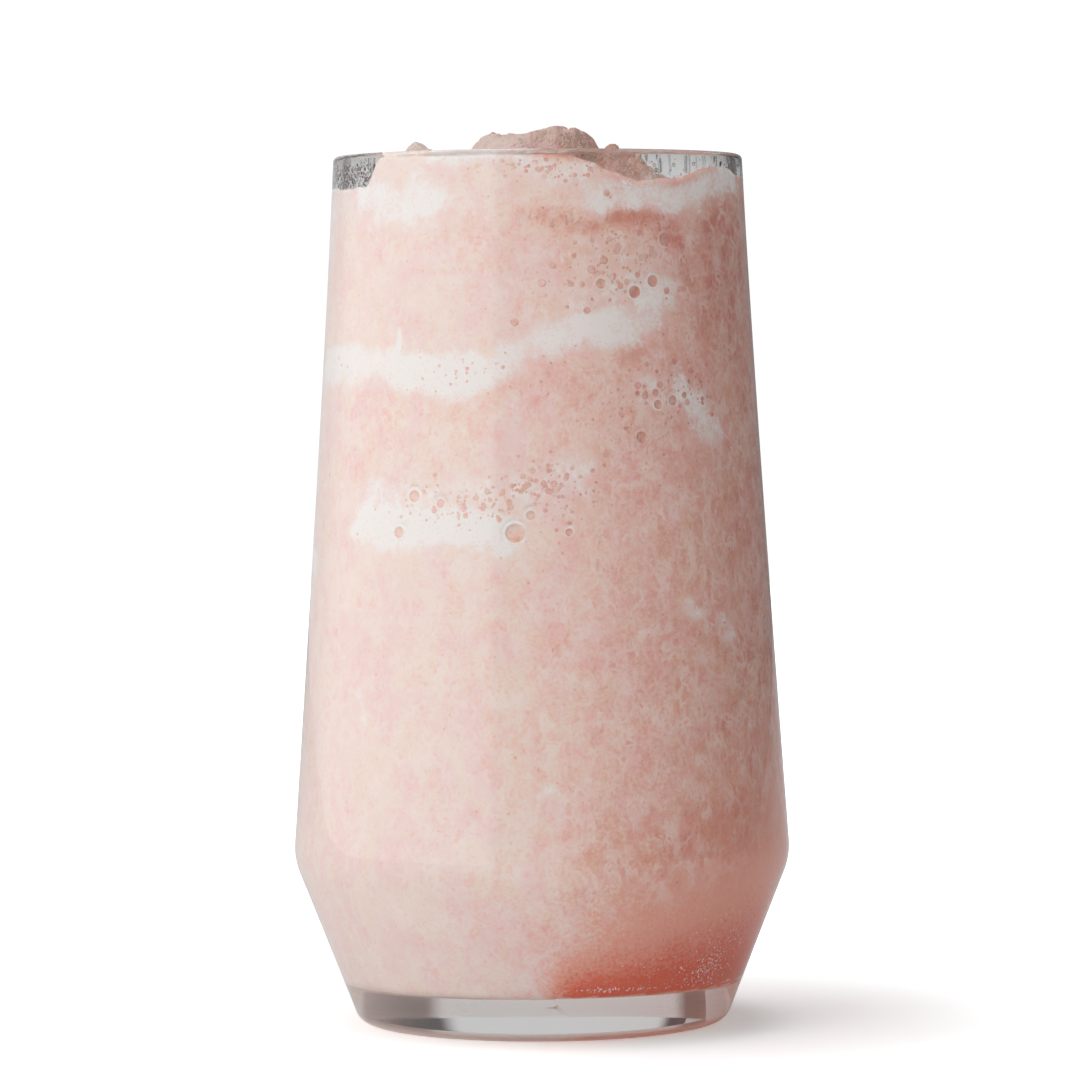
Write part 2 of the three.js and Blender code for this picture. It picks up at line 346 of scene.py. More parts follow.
# how far the edge is below the rim, for an angle from the front: four level stretches joined by
# S-shaped slopes, made a little uneven by noise
def edgeDrop(angle):
    brimful = smooth(-57, -50, angle) * (1 - smooth(6, 30, angle))
    sag = smooth(6, 30, angle) * (1 - smooth(38, 58, angle))
    cling = smooth(38, 58, angle) * (1 - smooth(62, 104, angle))
    elsewhere = np.maximum(1 - brimful - sag - cling, 0.0)
    x, y = 31.0 * np.sin(np.radians(angle)), -31.0 * np.cos(np.radians(angle))
    uneven = drink["unevenEdge"] * (cloud(x, y, 0 * x, 3.0, 3, 71) - 0.5) * (1.0 - 0.6 * brimful)
    return (
        uneven
        + drink["brimDrop"] * brimful
        + drink["sagDrop"] * sag
        + drink["clingDrop"] * cling
        + drink["edgeDepth"] * elsewhere
    )


# a soft hill: its height at the middle, falling off over the given half-widths
def hill(x, y, name):
    shape = hills[name]
    across = (x - shape["at"][0]) / shape["wide"]
    along = (y - shape["at"][1]) / shape["deep"]
    return shape["height"] * np.exp(-((across ** 2 + along ** 2) ** (shape["power"] / 2)))


# crags of the blended ice: lumps between crossing waves and broad folds, on a plan bent by slow waves
def crags(x, y):
    bentX = x + 1.3 * np.sin(0.31 * y + 0.5 * np.sin(0.2 * x))
    bentY = y + 1.1 * np.sin(0.37 * x + 1.7)
    lumps = np.sin(0.95 * bentX + 0.4 * bentY) * np.sin(0.9 * bentY - 0.35 * bentX)
    folds = np.sin(0.55 * np.hypot(bentX + 9, bentY - 14) + 0.6)
    return 0.26 * lumps + 0.24 * folds


# finer slush on the crags: noise of three sizes, the finest like crushed ice
def slushRelief(x, y):
    coarse = cloud(x, y, 0 * x, 3.4, 2, 11) - 0.56
    grain = cloud(x, y, 0 * x, 1.5, 2, 23) - 0.56
    ice = cloud(x, y, 0 * x, 0.9, 1, 29) - 0.5
    return 1.3 * coarse + 1.1 * grain + 0.55 * ice


# height of the top: the hills joined by a soft maximum, the fifth root of the sum of fifth powers,
# running near the wall into the edge that lies against the glass, and bent over softly below the
# tallest place that the solid reaches
def topHeight(x, y, wallRadius):
    sharpness = 5.0
    total = (hill(x, y, "mound") + hill(x, y, "crest")) ** sharpness
    for name in ("flank", "frontShelf", "leftKnob", "rightKnob"):
        total = total + hill(x, y, name) ** sharpness
    inside = total ** (1.0 / sharpness) + crags(x, y) + slushRelief(x, y)
    edge = drink["moatDepth"] - edgeDrop(angleAt(x, y))
    share = smooth(0.0, drink["edgeWidth"], wallRadius - np.hypot(x, y))
    height = vessel["height"] - drink["moatDepth"] + mixed(edge, inside, share)
    below = (drink["tallest"] - height) / drink["softness"]
    return drink["tallest"] - drink["softness"] * np.logaddexp(0.0, below)


# height of the syrup's top: a shelf reached soon after the toe, then a climb towards the +X wall
def syrupTop(x):
    along = np.maximum(x - syrupPool["toe"], 0.0)
    shelf = syrupPool["shelf"] * (1.0 - np.exp(-along / syrupPool["shelfLength"]))
    climb = syrupPool["climb"] * (along / syrupPool["climbReach"]) ** syrupPool["climbPower"]
    return vessel["baseThickness"] + shelf + climb


# the hollow's lower profile from the middle of the floor up to the top of the shoulder round,
# reaching into the glass
def fillProfile(inset=0.0):
    lower = hollowLower(inset - drink["reach"], 40)
    floor = np.linspace(0.0, lower[0, 0], drink["floorRows"] + 1)[1:-1]
    floorPoints = np.stack([floor, np.full_like(floor, lower[0, 1])], 1)
    return np.concatenate([floorPoints, evenly(lower, drink["lowerRows"])])


largeBubbles = [
    {"angle": -6.3, "z": 80.2, "radius": 1.5},
    {"angle": 37.6, "z": 125.8, "radius": 1.1},
    {"angle": 27.1, "z": 117.6, "radius": 1.0},
    {"angle": 32.9, "z": 119.3, "radius": 0.95},
    {"angle": -34.1, "z": 85.9, "radius": 0.95},
    {"angle": 27.8, "z": 94.9, "radius": 0.95},
    {"angle": -38.7, "z": 80.2, "radius": 0.9},
    {"angle": 17.3, "z": 118.9, "radius": 0.8},
    {"angle": -2.3, "z": 83.0, "radius": 0.7},
    {"angle": 33.1, "z": 100.0, "radius": 0.75},
    {"angle": 37.9, "z": 100.6, "radius": 0.8},
    {"angle": -26.2, "z": 84.8, "radius": 0.7},
    {"angle": 7.5, "z": 80.3, "radius": 0.62},
]


# the wall's bubbles press hollows into the drink: the depth of the deepest one at each place
def bubbleHollows(angle, z, radius):
    depth = np.zeros_like(angle)
    for bubble in largeBubbles:
        across = (angle - bubble["angle"] + 180.0) % 360.0 - 180.0
        distance = np.hypot(np.radians(across) * radius, z - bubble["z"])
        inside = distance < bubble["radius"] - 0.05
        depth = np.where(inside, 2.0 * bubble["radius"] + 1.0, depth)
    return depth


# one closed surface: floor, cone, shoulder, wall up to the edge, and rings inwards over the top;
# its underside is lifted to the syrup's top where that is higher
def makeDrink():
    turn = np.linspace(0.0, 2.0 * math.pi, drink["around"], endpoint=False)[None, :]
    angle = angleAt(np.cos(turn), np.sin(turn))
    lower = fillProfile()
    lowRadius, lowZ = lower[:, 0][:, None] + 0 * turn, lower[:, 1][:, None] + 0 * turn
    edge = vessel["height"] - edgeDrop(angle)
    share = (np.arange(1, drink["wallRows"] + 1) / drink["wallRows"])[:, None]
    wallZ = mixed(lower[-1, 1], edge, share)
    wallRadius = hollowWall(wallZ, -drink["reach"])
    wallRadius = wallRadius - bubbleHollows(angle + 0 * wallZ, wallZ, wallRadius)
    edgeRadius = hollowWall(edge, -drink["reach"])
    inwards = 1.0 - (np.arange(1, drink["topRows"]) / drink["topRows"])[:, None]
    topRadius = edgeRadius * inwards
    topX, topY = topRadius * np.cos(turn), topRadius * np.sin(turn)
    topZ = topHeight(topX, topY, edgeRadius)
    radius = np.concatenate([lowRadius, wallRadius, topRadius])
    z = np.concatenate([lowZ, wallZ, topZ])
    x, y = radius * np.cos(turn), radius * np.sin(turn)
    lowCount = len(lower)
    underside = syrupTop(x[:lowCount]) - syrupPool["overlap"]
    z[:lowCount] = np.maximum(z[:lowCount], np.where(x[:lowCount] > syrupPool["toe"], underside, 0.0))
    rows = np.stack([x, y, z], -1)
    middle = topHeight(np.zeros(1), np.zeros(1), vessel["rimRadius"])[0]
    bottom = (0.0, 0.0, vessel["baseThickness"] - drink["reach"])
    return meshFromRows("smoothieBody", rows, bottom, (0.0, 0.0, middle))


# a closed wedge, section by section round from one end of the toe line to the other: out along the
# floor and up the cone to where the top meets the wall, and back along the top
def makeSyrup():
    steps = 44
    lower = fillProfile(syrupPool["inset"])
    toe = syrupPool["toe"]
    reachable = math.degrees(math.acos(toe / (lower[drink["floorRows"], 0] - 0.5)))
    section = np.radians(np.linspace(-reachable, reachable, syrupPool["around"]))[1:-1, None]
    low = toe / np.cos(section)
    high = np.full_like(low, vessel["shoulderRadius"])
    bottomAt = lambda r: np.interp(r, lower[:, 0], lower[:, 1])
    inner, outer = low, np.full_like(low, lower[:, 0].max())
    for step in range(40):
        middle = (inner + outer) / 2.0
        below = bottomAt(middle) < syrupTop(middle * np.cos(section))
        inner, outer = np.where(below, middle, inner), np.where(below, outer, middle)
    meeting = inner
    share = np.linspace(0.0, 1.0, steps)[None, :]
    outwards = 1.0 - (1.0 - share) ** 1.8
    bottomRadius = mixed(low, meeting, outwards)
    topRadius = mixed(meeting, low, share)[:, 1:-1]
    bottomZ = bottomAt(bottomRadius)
    topZ = syrupTop(topRadius * np.cos(section))
    radius = np.concatenate([bottomRadius, topRadius], 1)
    z = np.concatenate([bottomZ, topZ], 1)
    rows = np.stack([radius * np.cos(section), radius * np.sin(section), z], -1)
    ends = [rows[0].mean(0), rows[-1].mean(0)]
    return meshFromRows("syrupPool", rows, ends[0], ends[1])


smoothieBody = makeDrink()
syrupBody = makeSyrup()
print("drink and syrup made")


# How the drink is coloured

# Strokes are drawn along (degrees from the front, height) points. Each has a half-width in
# millimetres, a strength, and how far its edge fades as a share of that width.
foamStrokes = [
    {"points": [(-78, 106), (-70, 107), (-54, 106.6), (-37, 106), (-25, 105.4), (-20, 105.8)],
     "half": 2.5, "strength": 1.0, "fade": 0.6},
    {"points": [(-11, 107.8), (-4.6, 109.5), (10, 112.1), (26, 113.6), (33, 115), (37, 117.5)],
     "half": 2.1, "strength": 0.8, "fade": 1.0},
    {"points": [(-41, 108), (-40.5, 112)], "half": 0.7, "strength": 0.8, "fade": 0.9},
    {"points": [(-52, 82.0), (-46, 81.4), (-35, 81.6), (-22, 82), (-10, 80.8)],
     "half": 2.2, "strength": 1.0, "fade": 0.7},
    {"points": [(-45, 85.5), (-27, 85.8), (-8, 85.5), (6, 86.5), (10, 88.5)],
     "half": 2.6, "strength": 0.5, "fade": 1.5},
    {"points": [(-58, 133.6), (-50, 132.6), (-41, 131.4), (-33, 132.4), (-28, 131.5)],
     "half": 2.0, "strength": 0.72, "fade": 1.2},
    {"points": [(-86, 131.4), (-74, 132.4), (-60, 133.2)], "half": 1.4, "strength": 0.5, "fade": 1.5},
    {"points": [(-35, 135.4), (-31, 134)], "half": 1.2, "strength": 0.7, "fade": 1.0},
    {"points": [(-30, 138.7), (-18, 138.6), (-6, 138.2), (2, 137.4)],
     "half": 0.7, "strength": 0.7, "fade": 1.0},
    {"points": [(-4, 137), (5, 136.4), (16, 135.2)], "half": 1.4, "strength": 0.55, "fade": 1.3},
    {"points": [(14, 133.6), (28, 132.8), (40, 132.8), (50, 133.8), (60, 135.2), (72, 136.0)],
     "half": 1.65, "strength": 0.66, "fade": 1.0},
    {"points": [(41, 103), (46.5, 99.9), (52, 96.5)], "half": 2.3, "strength": 0.65, "fade": 1.0},
    {"points": [(26, 103), (32, 101.5)], "half": 1.2, "strength": 0.5, "fade": 1.2},
    {"points": [(-7, 100), (-5, 95)], "half": 1.4, "strength": 0.45, "fade": 1.3},
    {"points": [(12, 117.5), (20, 118), (30, 116), (36, 120)], "half": 2.4, "strength": 0.4, "fade": 1.4},
    {"points": [(14, 124.5), (20, 121), (28, 123)], "half": 1.6, "strength": 0.3, "fade": 1.4},
    {"points": [(40, 69), (43, 67.5)], "half": 1.1, "strength": 0.5, "fade": 1.2},
    {"points": [(52, 66), (54, 64)], "half": 1.2, "strength": 0.5, "fade": 1.2},
    {"points": [(58, 52), (62, 50.5)], "half": 1.2, "strength": 0.5, "fade": 1.2},
    {"points": [(-2, 39.2), (1.5, 40.2), (4, 38.6)], "half": 0.7, "strength": 0.7, "fade": 0.9},
    {"points": [(-52, 57), (-49, 50)], "half": 0.5, "strength": 0.6, "fade": 1.4},
]

roseStrokes = [
    {"points": [(-55, 128.6), (-35, 129), (-18, 127.5)], "half": 1.6, "strength": 0.22, "fade": 1.5},
    {"points": [(-5, 129.2), (9, 128.9), (24, 129.4), (33, 128.8), (39, 127.2), (44.5, 124), (46, 120)],
     "half": 0.75, "strength": 0.75, "fade": 1.5},
    {"points": [(66, 134), (60, 126), (60, 116)], "half": 2.6, "strength": 0.4, "fade": 1.6},
    {"points": [(-4, 139.2), (6, 139.0), (13, 138.0), (18, 136.9)],
     "half": 0.3, "strength": 1.2, "fade": 0.9},
    {"points": [(22, 108.8), (28, 108.6)], "half": 0.9, "strength": 0.5, "fade": 1.2},
    {"points": [(38, 105.6), (43.3, 103.7)], "half": 1.0, "strength": 0.5, "fade": 1.2},
    {"points": [(-60, 100.5), (-37, 100.8), (-17, 101), (0, 104)],
     "half": 2.2, "strength": 0.26, "fade": 1.5},
    {"points": [(-60, 93), (-40, 92.4), (-25, 93)], "half": 2.6, "strength": 0.18, "fade": 1.5},
    {"points": [(18, 31), (34, 30), (52, 32)], "half": 3.2, "strength": 0.35, "fade": 1.6},
]

backSwirls = {
    "seed": 7,
    "foam": 9,
    "rose": 7,
    "fromAngle": 82.0,
    "toAngle": 278.0,
    "low": 36.0,
    "high": 132.0,
}


# swirls for the side that the picture doesn't show: slow waves of one to three bends, drawn at random
# with a fixed seed, as wide and as strong as the ones in front
def swirlsBehind(count, width, strength, seed):
    random = np.random.default_rng(seed)
    strokes = []
    for place in range(count):
        start = random.uniform(backSwirls["fromAngle"], backSwirls["toAngle"] - 30.0)
        length = random.uniform(26.0, 74.0)
        height = mixed(backSwirls["low"], backSwirls["high"], (place + random.uniform(0.1, 0.9)) / count)
        angles = np.linspace(start, min(start + length, backSwirls["toAngle"]), 6)
        rise = random.uniform(-4.0, 5.0) * np.linspace(0.0, 1.0, 6)
        wave = random.uniform(0.5, 1.6) * np.sin(np.linspace(0.0, random.uniform(2.0, 5.0), 6))
        strokes.append({
            "points": list(zip(angles, height + rise + wave)),
            "half": width * random.uniform(0.6, 1.25),
            "strength": strength * random.uniform(0.5, 1.0),
            "fade": random.uniform(0.7, 1.4),
        })
    return strokes


# the strongest stroke at each place of the wall: full within the half-width of the nearest point of
# its line, and fading beyond it, more slowly below than above; distances are measured along the wall
def strokeCover(angle, z, radius, strokes):
    cover = np.zeros_like(z)
    for stroke in strokes:
        nearest = np.full_like(z, 1e6)
        below = np.zeros_like(z)
        points = stroke["points"]
        for start, end in zip(points[:-1], points[1:]):
            turnToStart = (angle - start[0] + 180.0) % 360.0 - 180.0
            alongStart = np.radians(turnToStart) * radius
            alongSegment = np.radians(end[0] - start[0]) * radius
            rise = end[1] - start[1]
            lengthSquared = alongSegment ** 2 + rise ** 2
            share = np.clip((alongStart * alongSegment + (z - start[1]) * rise) / lengthSquared, 0.0, 1.0)
            over = z - start[1] - share * rise
            distance = np.hypot(alongStart - share * alongSegment, over)
            below = np.where(distance < nearest, smooth(0.0, -1.2, over), below)
            nearest = np.minimum(nearest, distance)
        edge = nearest / (stroke["half"] * (1.0 + drinkTones["runDown"] * below))
        reached = stroke["strength"] * (1.0 - smooth(0.2, 1.6 + stroke["fade"], edge))
        cover = np.maximum(cover, reached)
    return cover


drinkTones = {
    "warp": 3.4,  # mm by which slow noise pushes the strokes about
    "fineWarp": 1.5,
    "runDown": 0.35,  # how much further a stroke fades downwards than upwards
    "roseAndShadeFrom": -24.0,  # x where the drink is palest, where its own rose and the painted shade begin
    "roseAndShadeTo": 33.0,  # x where it is rosiest and darkest with painted shade, apart from the far side
    # further rose on the far +X side, from farFrom to farTo: partly the drink's own colour, partly painted
    # shade
    "farFrom": 22.0,
    "farTo": 38.0,
    "farRoseAndShade": 0.34,
    "syrupHeights": (0.25, 0.6, 1.0, 1.7, 3.2),  # above the floor, in depths of the pool
    "syrupShares": (1.0, 0.8, 0.55, 0.3, 0.0),  # how much of the syrup's colour shows there
    "shallowest": 5.0,  # mm, the least depth that counts
}


# four shares at each point: foam, rose, syrup and open top. Strokes are found at places pushed about
# by noise; rose grows towards +X, partly the drink's own deeper colour and partly painted shade on the
# side away from the lamps; syrup follows the height over the floor, in depths of the pool
def tonesAt(x, y, z, openTop):
    radius = np.maximum(np.hypot(x, y), 1.0)
    around = np.maximum(radius, 26.0)
    pushAcross = drinkTones["warp"] * (cloud(x, y, z, 9.0, 2, 31) - 0.5)
    pushAcross = pushAcross + drinkTones["fineWarp"] * (cloud(x, y, z, 2.2, 2, 37) - 0.5)
    pushUp = drinkTones["warp"] * (cloud(x, y, z, 8.0, 2, 41) - 0.5)
    pushUp = pushUp + drinkTones["fineWarp"] * (cloud(x, y, z, 2.0, 2, 47) - 0.5)
    angle = angleAt(x, y) + np.degrees(pushAcross / around)
    height = z + pushUp
    foam = strokeCover(angle, height, around, foamStrokes + foamBehind)
    foam = foam * (0.42 + 1.1 * cloud(x, y, z, 5.0, 3, 67))
    rose = strokeCover(angle, height, around, roseStrokes + roseBehind)
    # rose grows towards +X: partly the drink's own deeper colour, partly painted shade on the side away from
    # the lamps
    across = x + 5.0 * (cloud(x, y, z, 14.0, 2, 53) - 0.5)
    rose = rose + smooth(drinkTones["roseAndShadeFrom"], drinkTones["roseAndShadeTo"], across)
    rose = rose + drinkTones["farRoseAndShade"] * smooth(drinkTones["farFrom"], drinkTones["farTo"], across)
    rose = rose + 0.3 * (cloud(x, y, z, 6.0, 3, 59) - 0.5)
    depth = np.maximum(syrupTop(x) - vessel["baseThickness"], drinkTones["shallowest"])
    over = z + 3.0 * (cloud(x, y, z, 7.0, 3, 61) - 0.5) - vessel["baseThickness"]
    syrup = np.interp(over / depth, drinkTones["syrupHeights"], drinkTones["syrupShares"])
    syrup = syrup * smooth(-3.0, 6.0, x)
    foam = foam * (1.0 - syrup)
    return np.stack([foam, np.clip(rose, 0.0, 1.6), syrup, openTop], -1)


foamBehind = swirlsBehind(backSwirls["foam"], 2.3, 0.95, backSwirls["seed"])
roseBehind = swirlsBehind(backSwirls["rose"], 2.2, 0.4, backSwirls["seed"] + 1)


def meshPoints(made):
    flat = np.zeros(len(made.data.vertices) * 3, dtype=np.float32)
    made.data.vertices.foreach_get("co", flat)
    return flat.reshape(-1, 3).astype(np.float64) / metresPerMm


# the open top: everything of the drink inwards from the edge that lies against the glass
def paintDrink(made):
    points = meshPoints(made)
    x, y, z = points[:, 0], points[:, 1], points[:, 2]
    index = np.arange(len(points))
    topStart = 1 + drink["around"] * (drink["floorRows"] + drink["lowerRows"] + drink["wallRows"])
    openTop = (index >= topStart).astype(float)
    paintTones(made, "tones", tonesAt(x, y, z, openTop))
    paintUnderside(made, z)


# 1 on the flat underside, which lies wet on the floor of the glass
def paintUnderside(made, z):
    layer = made.data.attributes.new("underside", "FLOAT", "POINT")
    layer.data.foreach_set("value", (z < vessel["baseThickness"] + 0.02).astype(np.float32))


# the four shares at a piece's own points, none of them on the open top
def wallTones(made):
    points = meshPoints(made)
    return tonesAt(points[:, 0], points[:, 1], points[:, 2], np.zeros(len(points)))


paintDrink(smoothieBody)
paintTones(syrupBody, "tones", wallTones(syrupBody))
paintUnderside(syrupBody, meshPoints(syrupBody)[:, 2])
print("drink painted")


# Bubbles against the glass

bubbleCups = {
    "flange": 1.0,  # covers the drink's edge round the hollow
    "lift": 0.035,  # of the flange beside the bowl; it dives into the drink further out
    "dive": 0.09,
    "back": 0.12,
    "rings": 12,
    "around": 28,
    "depth": 0.3,  # of the bowl, as a share of its radius
    # painted highlight: a thin light ring round the bowl
    "paintedRimHighlight": 0.34,
    # painted shade: more rose over the whole bowl
    "paintedBowlShade": 0.5,
    "paintedLowShade": 0.45,  # painted shade, darker still low in the bowl
}
wallSpecks = {"seed": 19, "lift": 0.035, "rings": 4, "around": 9, "smallest": 0.13, "largest": 0.5}


# places on the wall for an offset along it and up it from a centre; lift is towards the glass
def onWall(angle, z, across, up, lift):
    height = z + up
    radius = hollowWall(height, -drink["reach"])
    turned = np.radians(angle) + across / radius
    radius = radius + lift
    return np.stack([radius * np.sin(turned), -radius * np.cos(turned), height], -1)


# the level direction outwards at an angle
def outwardAt(angle):
    turned = np.radians(angle)
    return np.stack([np.sin(turned), -np.cos(turned)], 1)


# a bowl with a flange: its depth is a flattened circle's, the flange leaves the drink's surface by an
# S-shaped dive, and the back follows both a little deeper; rows run from the back's middle out over
# the flange to the bowl's middle
def makeCups(bubbles):
    angles = np.array([bubble["angle"] for bubble in bubbles])[:, None, None]
    heights = np.array([bubble["z"] for bubble in bubbles])[:, None, None]
    radii = np.array([bubble["radius"] for bubble in bubbles])[:, None, None]
    turn = np.linspace(0.0, 2.0 * math.pi, bubbleCups["around"], endpoint=False)[None, None, :]
    share = np.sin(np.linspace(0.12, 1.0, bubbleCups["rings"]) * math.pi / 2.0)[None, :, None]
    bowlReach = radii * share
    bowlDepth = -bubbleCups["depth"] * radii * np.sqrt(np.maximum(1.0 - share ** 2, 0.0))
    flangeSteps = np.array([0.1, 0.3, 0.55, 0.78, 1.0])[None, :, None]
    flangeReach = radii + bubbleCups["flange"] * flangeSteps
    reach = np.concatenate([bowlReach, flangeReach], 1)
    dive = -bubbleCups["dive"] * smooth(0.2, 1.0, flangeSteps) + 0.0 * flangeReach
    lift = np.concatenate([bowlDepth, dive], 1) + bubbleCups["lift"]
    reach = np.concatenate([reach, reach[:, ::-1]], 1)
    lift = np.concatenate([lift, lift[:, ::-1] - bubbleCups["back"]], 1)
    across = reach * np.cos(turn)
    up = reach * np.sin(turn)
    copies = onWall(angles, heights, across, up, lift + 0.0 * turn)
    flat = np.zeros((len(bubbles), 1))
    frontLift = bubbleCups["lift"] - bubbleCups["depth"] * radii[:, :, 0]
    front = onWall(angles[:, :, 0], heights[:, :, 0], flat, flat, frontLift)[:, 0]
    back = onWall(angles[:, :, 0], heights[:, :, 0], flat, flat, frontLift - bubbleCups["back"])[:, 0]
    made = meshFromCopies("bubbleCups", copies[:, ::-1], back, front)
    # masks for the painted light: a highlight ring just outside the bowl, the bowl's inside for painted
    # shade, and its low part for more painted shade
    paintedRingHighlight = np.exp(-(((reach / radii) - 1.12) / 0.14) ** 2) * np.ones_like(turn)
    inside = smooth(1.04, 0.9, reach / radii) * np.ones_like(turn)
    low = inside * smooth(0.1, 0.95, -up / radii)
    return made, paintedRingHighlight[:, ::-1], inside[:, ::-1], low[:, ::-1]


# inside, no foam and more rose as painted shade, most of it low in the bowl; round it, a thin ring of painted
# highlight
def paintCups(made, paintedRingHighlight, inside, low):
    tones = wallTones(made)
    count = len(paintedRingHighlight)
    pad = np.zeros((count, 1))
    light = np.concatenate([pad, paintedRingHighlight.reshape(count, -1), pad], 1).ravel()
    within = np.concatenate([pad + 1, inside.reshape(count, -1), pad + 1], 1).ravel()
    shade = np.concatenate([pad, low.reshape(count, -1), pad], 1).ravel()
    tones[:, 0] = tones[:, 0] * (1.0 - within) + bubbleCups["paintedRimHighlight"] * light
    tones[:, 1] = tones[:, 1] + bubbleCups["paintedBowlShade"] * within + bubbleCups["paintedLowShade"] * shade
    paintTones(made, "tones", tones)


cups, cupPaintedHighlight, cupInside, cupPaintedLowShade = makeCups(largeBubbles)
paintCups(cups, cupPaintedHighlight, cupInside, cupPaintedLowShade)
print("bubbles made")


# clusters of small bubbles: middle, spread in degrees and millimetres, how many, and the largest
speckClusters = [
    {"angle": -17, "z": 84.3, "spread": (6.5, 1.5), "count": 60, "largest": 0.42},
    {"angle": -2, "z": 87.6, "spread": (8.0, 2.3), "count": 90, "largest": 0.45},
    {"angle": -31, "z": 85.2, "spread": (7.0, 1.6), "count": 40, "largest": 0.34},
    {"angle": 8, "z": 84.0, "spread": (8.0, 3.0), "count": 40, "largest": 0.36},
    {"angle": 15, "z": 121.0, "spread": (9.0, 3.6), "count": 80, "largest": 0.55},
    {"angle": 27, "z": 123.5, "spread": (6.0, 2.6), "count": 40, "largest": 0.5},
    {"angle": 33, "z": 102.5, "spread": (8.0, 2.6), "count": 60, "largest": 0.5},
    {"angle": 48, "z": 101.0, "spread": (6.0, 2.0), "count": 25, "largest": 0.45},
    {"angle": 8, "z": 136.6, "spread": (8.0, 0.9), "count": 46, "largest": 0.38},
    {"angle": -9, "z": 137.6, "spread": (6.0, 0.7), "count": 26, "largest": 0.36},
    {"angle": -21, "z": 106.0, "spread": (9.0, 1.5), "count": 24, "largest": 0.3},
    {"angle": 25, "z": 93.5, "spread": (6.0, 3.0), "count": 22, "largest": 0.36},
]

speckScatter = {"count": 520, "low": 20.0, "high": 133.0, "largest": 0.24}
behindSpecks = {"clusters": 11, "spread": (8.0, 2.4), "count": 46, "largest": 0.48}

# white froth where the drink meets the floor of the glass and low on the syrup side
frothClusters = [
    {"angle": 26, "z": 8.7, "spread": (9.0, 0.2), "count": 60, "largest": 0.13, "smallest": 0.07},
    {"angle": 53, "z": 10.8, "spread": (5.5, 2.0), "count": 190, "largest": 0.15, "smallest": 0.06},
    {"angle": 56, "z": 15.0, "spread": (5.0, 3.0), "count": 80, "largest": 0.13, "smallest": 0.06},
    {"angle": 38, "z": 11.0, "spread": (9.0, 2.4), "count": 60, "largest": 0.1, "smallest": 0.05},
    {"angle": 27, "z": 134.7, "spread": (3.0, 0.4), "count": 30, "largest": 0.22, "smallest": 0.1},
]


# places and sizes drawn round each cluster's middle; small bubbles are far more common than large ones
def drawSpecks(clusters, random):
    drawn = []
    for cluster in clusters:
        angle = random.normal(cluster["angle"], cluster["spread"][0], cluster["count"])
        z = random.normal(cluster["z"], cluster["spread"][1], cluster["count"])
        rarity = random.uniform(0.0, 1.0, cluster["count"]) ** 2.6
        radius = mixed(cluster.get("smallest", wallSpecks["smallest"]), cluster["largest"], rarity)
        drawn.append(np.stack([angle, z, radius], 1))
    return np.concatenate(drawn)


def clustersBehind(random):
    clusters = []
    for place in range(behindSpecks["clusters"]):
        clusters.append({
            "angle": random.uniform(backSwirls["fromAngle"], backSwirls["toAngle"]),
            "z": random.uniform(backSwirls["low"], backSwirls["high"]),
            "spread": behindSpecks["spread"],
            "count": behindSpecks["count"],
            "largest": behindSpecks["largest"],
        })
    return clusters


# only specks that lie wholly on the wall of the drink, and clear of the large bubbles, are kept
def keptSpecks(drawn):
    angle, z, radius = drawn.T
    kept = z + radius < vessel["height"] - edgeDrop(angle) - 0.4
    kept &= z - radius > vessel["baseThickness"] + 0.5
    for bubble in largeBubbles:
        across = np.radians((angle - bubble["angle"] + 180.0) % 360.0 - 180.0) * hollowWall(z, 0.0)
        kept &= np.hypot(across, z - bubble["z"]) > bubble["radius"] + radius
    return drawn[kept]


# radius of the drink's side at a height, from the floor of the glass to the rim
def drinkSide(z, lift):
    lower = fillProfile()
    low = np.interp(z, lower[drink["floorRows"]:, 1], lower[drink["floorRows"]:, 0])
    return np.where(z < lower[-1, 1], low, hollowWall(z, -drink["reach"])) + lift


# small closed lenses on the wall: a ring that stands up round a shallower middle
def makeSpecks(name, specks):
    angle, z, radius = (v[:, None, None] for v in specks.T)
    turn = np.linspace(0.0, 2.0 * math.pi, wallSpecks["around"], endpoint=False)[None, None, :]
    share = np.array([1.15, 1.2, 0.9, 0.6, 0.3])[None, :, None]
    height = np.array([-0.05, 0.35, 1.0, 0.6, 0.5])[None, :, None]
    reach = radius * share
    lift = wallSpecks["lift"] * height
    up = reach * np.sin(turn)
    across = reach * np.cos(turn)
    level = z + up
    turned = np.radians(angle) + across / drinkSide(z, 0.0)
    side = drinkSide(level, 0.0) + lift
    copies = np.stack([side * np.sin(turned), -side * np.cos(turned), level], -1)
    middle = drinkSide(z[:, 0, 0], 0.0)[:, None]
    facing = outwardAt(angle[:, 0, 0])
    back = np.concatenate([facing * (middle - 0.1), z[:, :, 0]], 1)
    front = np.concatenate([facing * (middle + 0.45 * wallSpecks["lift"]), z[:, :, 0]], 1)
    made = meshFromCopies(name, copies, back, front)
    # painted highlight: a light ring near each lens's edge, none in the middle
    rim = np.array([0.2, 0.4, 0.1, 0.0, 0.0])[None, :, None] + 0.0 * turn
    return made, np.broadcast_to(rim, (len(specks), 5, wallSpecks["around"]))


def paintSpecks(made, rim, froth):
    tones = wallTones(made)
    pad = np.zeros((len(rim), 1))
    light = np.concatenate([pad, rim.reshape(len(rim), -1), pad], 1).ravel()
    if froth:
        tones[:, 0] = 0.8
        tones[:, 2] = 0.0
    else:
        # bubble specks: painted highlight on the ring, painted shade as more rose in the middle
        tones[:, 0] = np.maximum(tones[:, 0] * light, light)
        tones[:, 1] = tones[:, 1] + 0.6 * (1.0 - light)
    paintTones(made, "tones", tones)


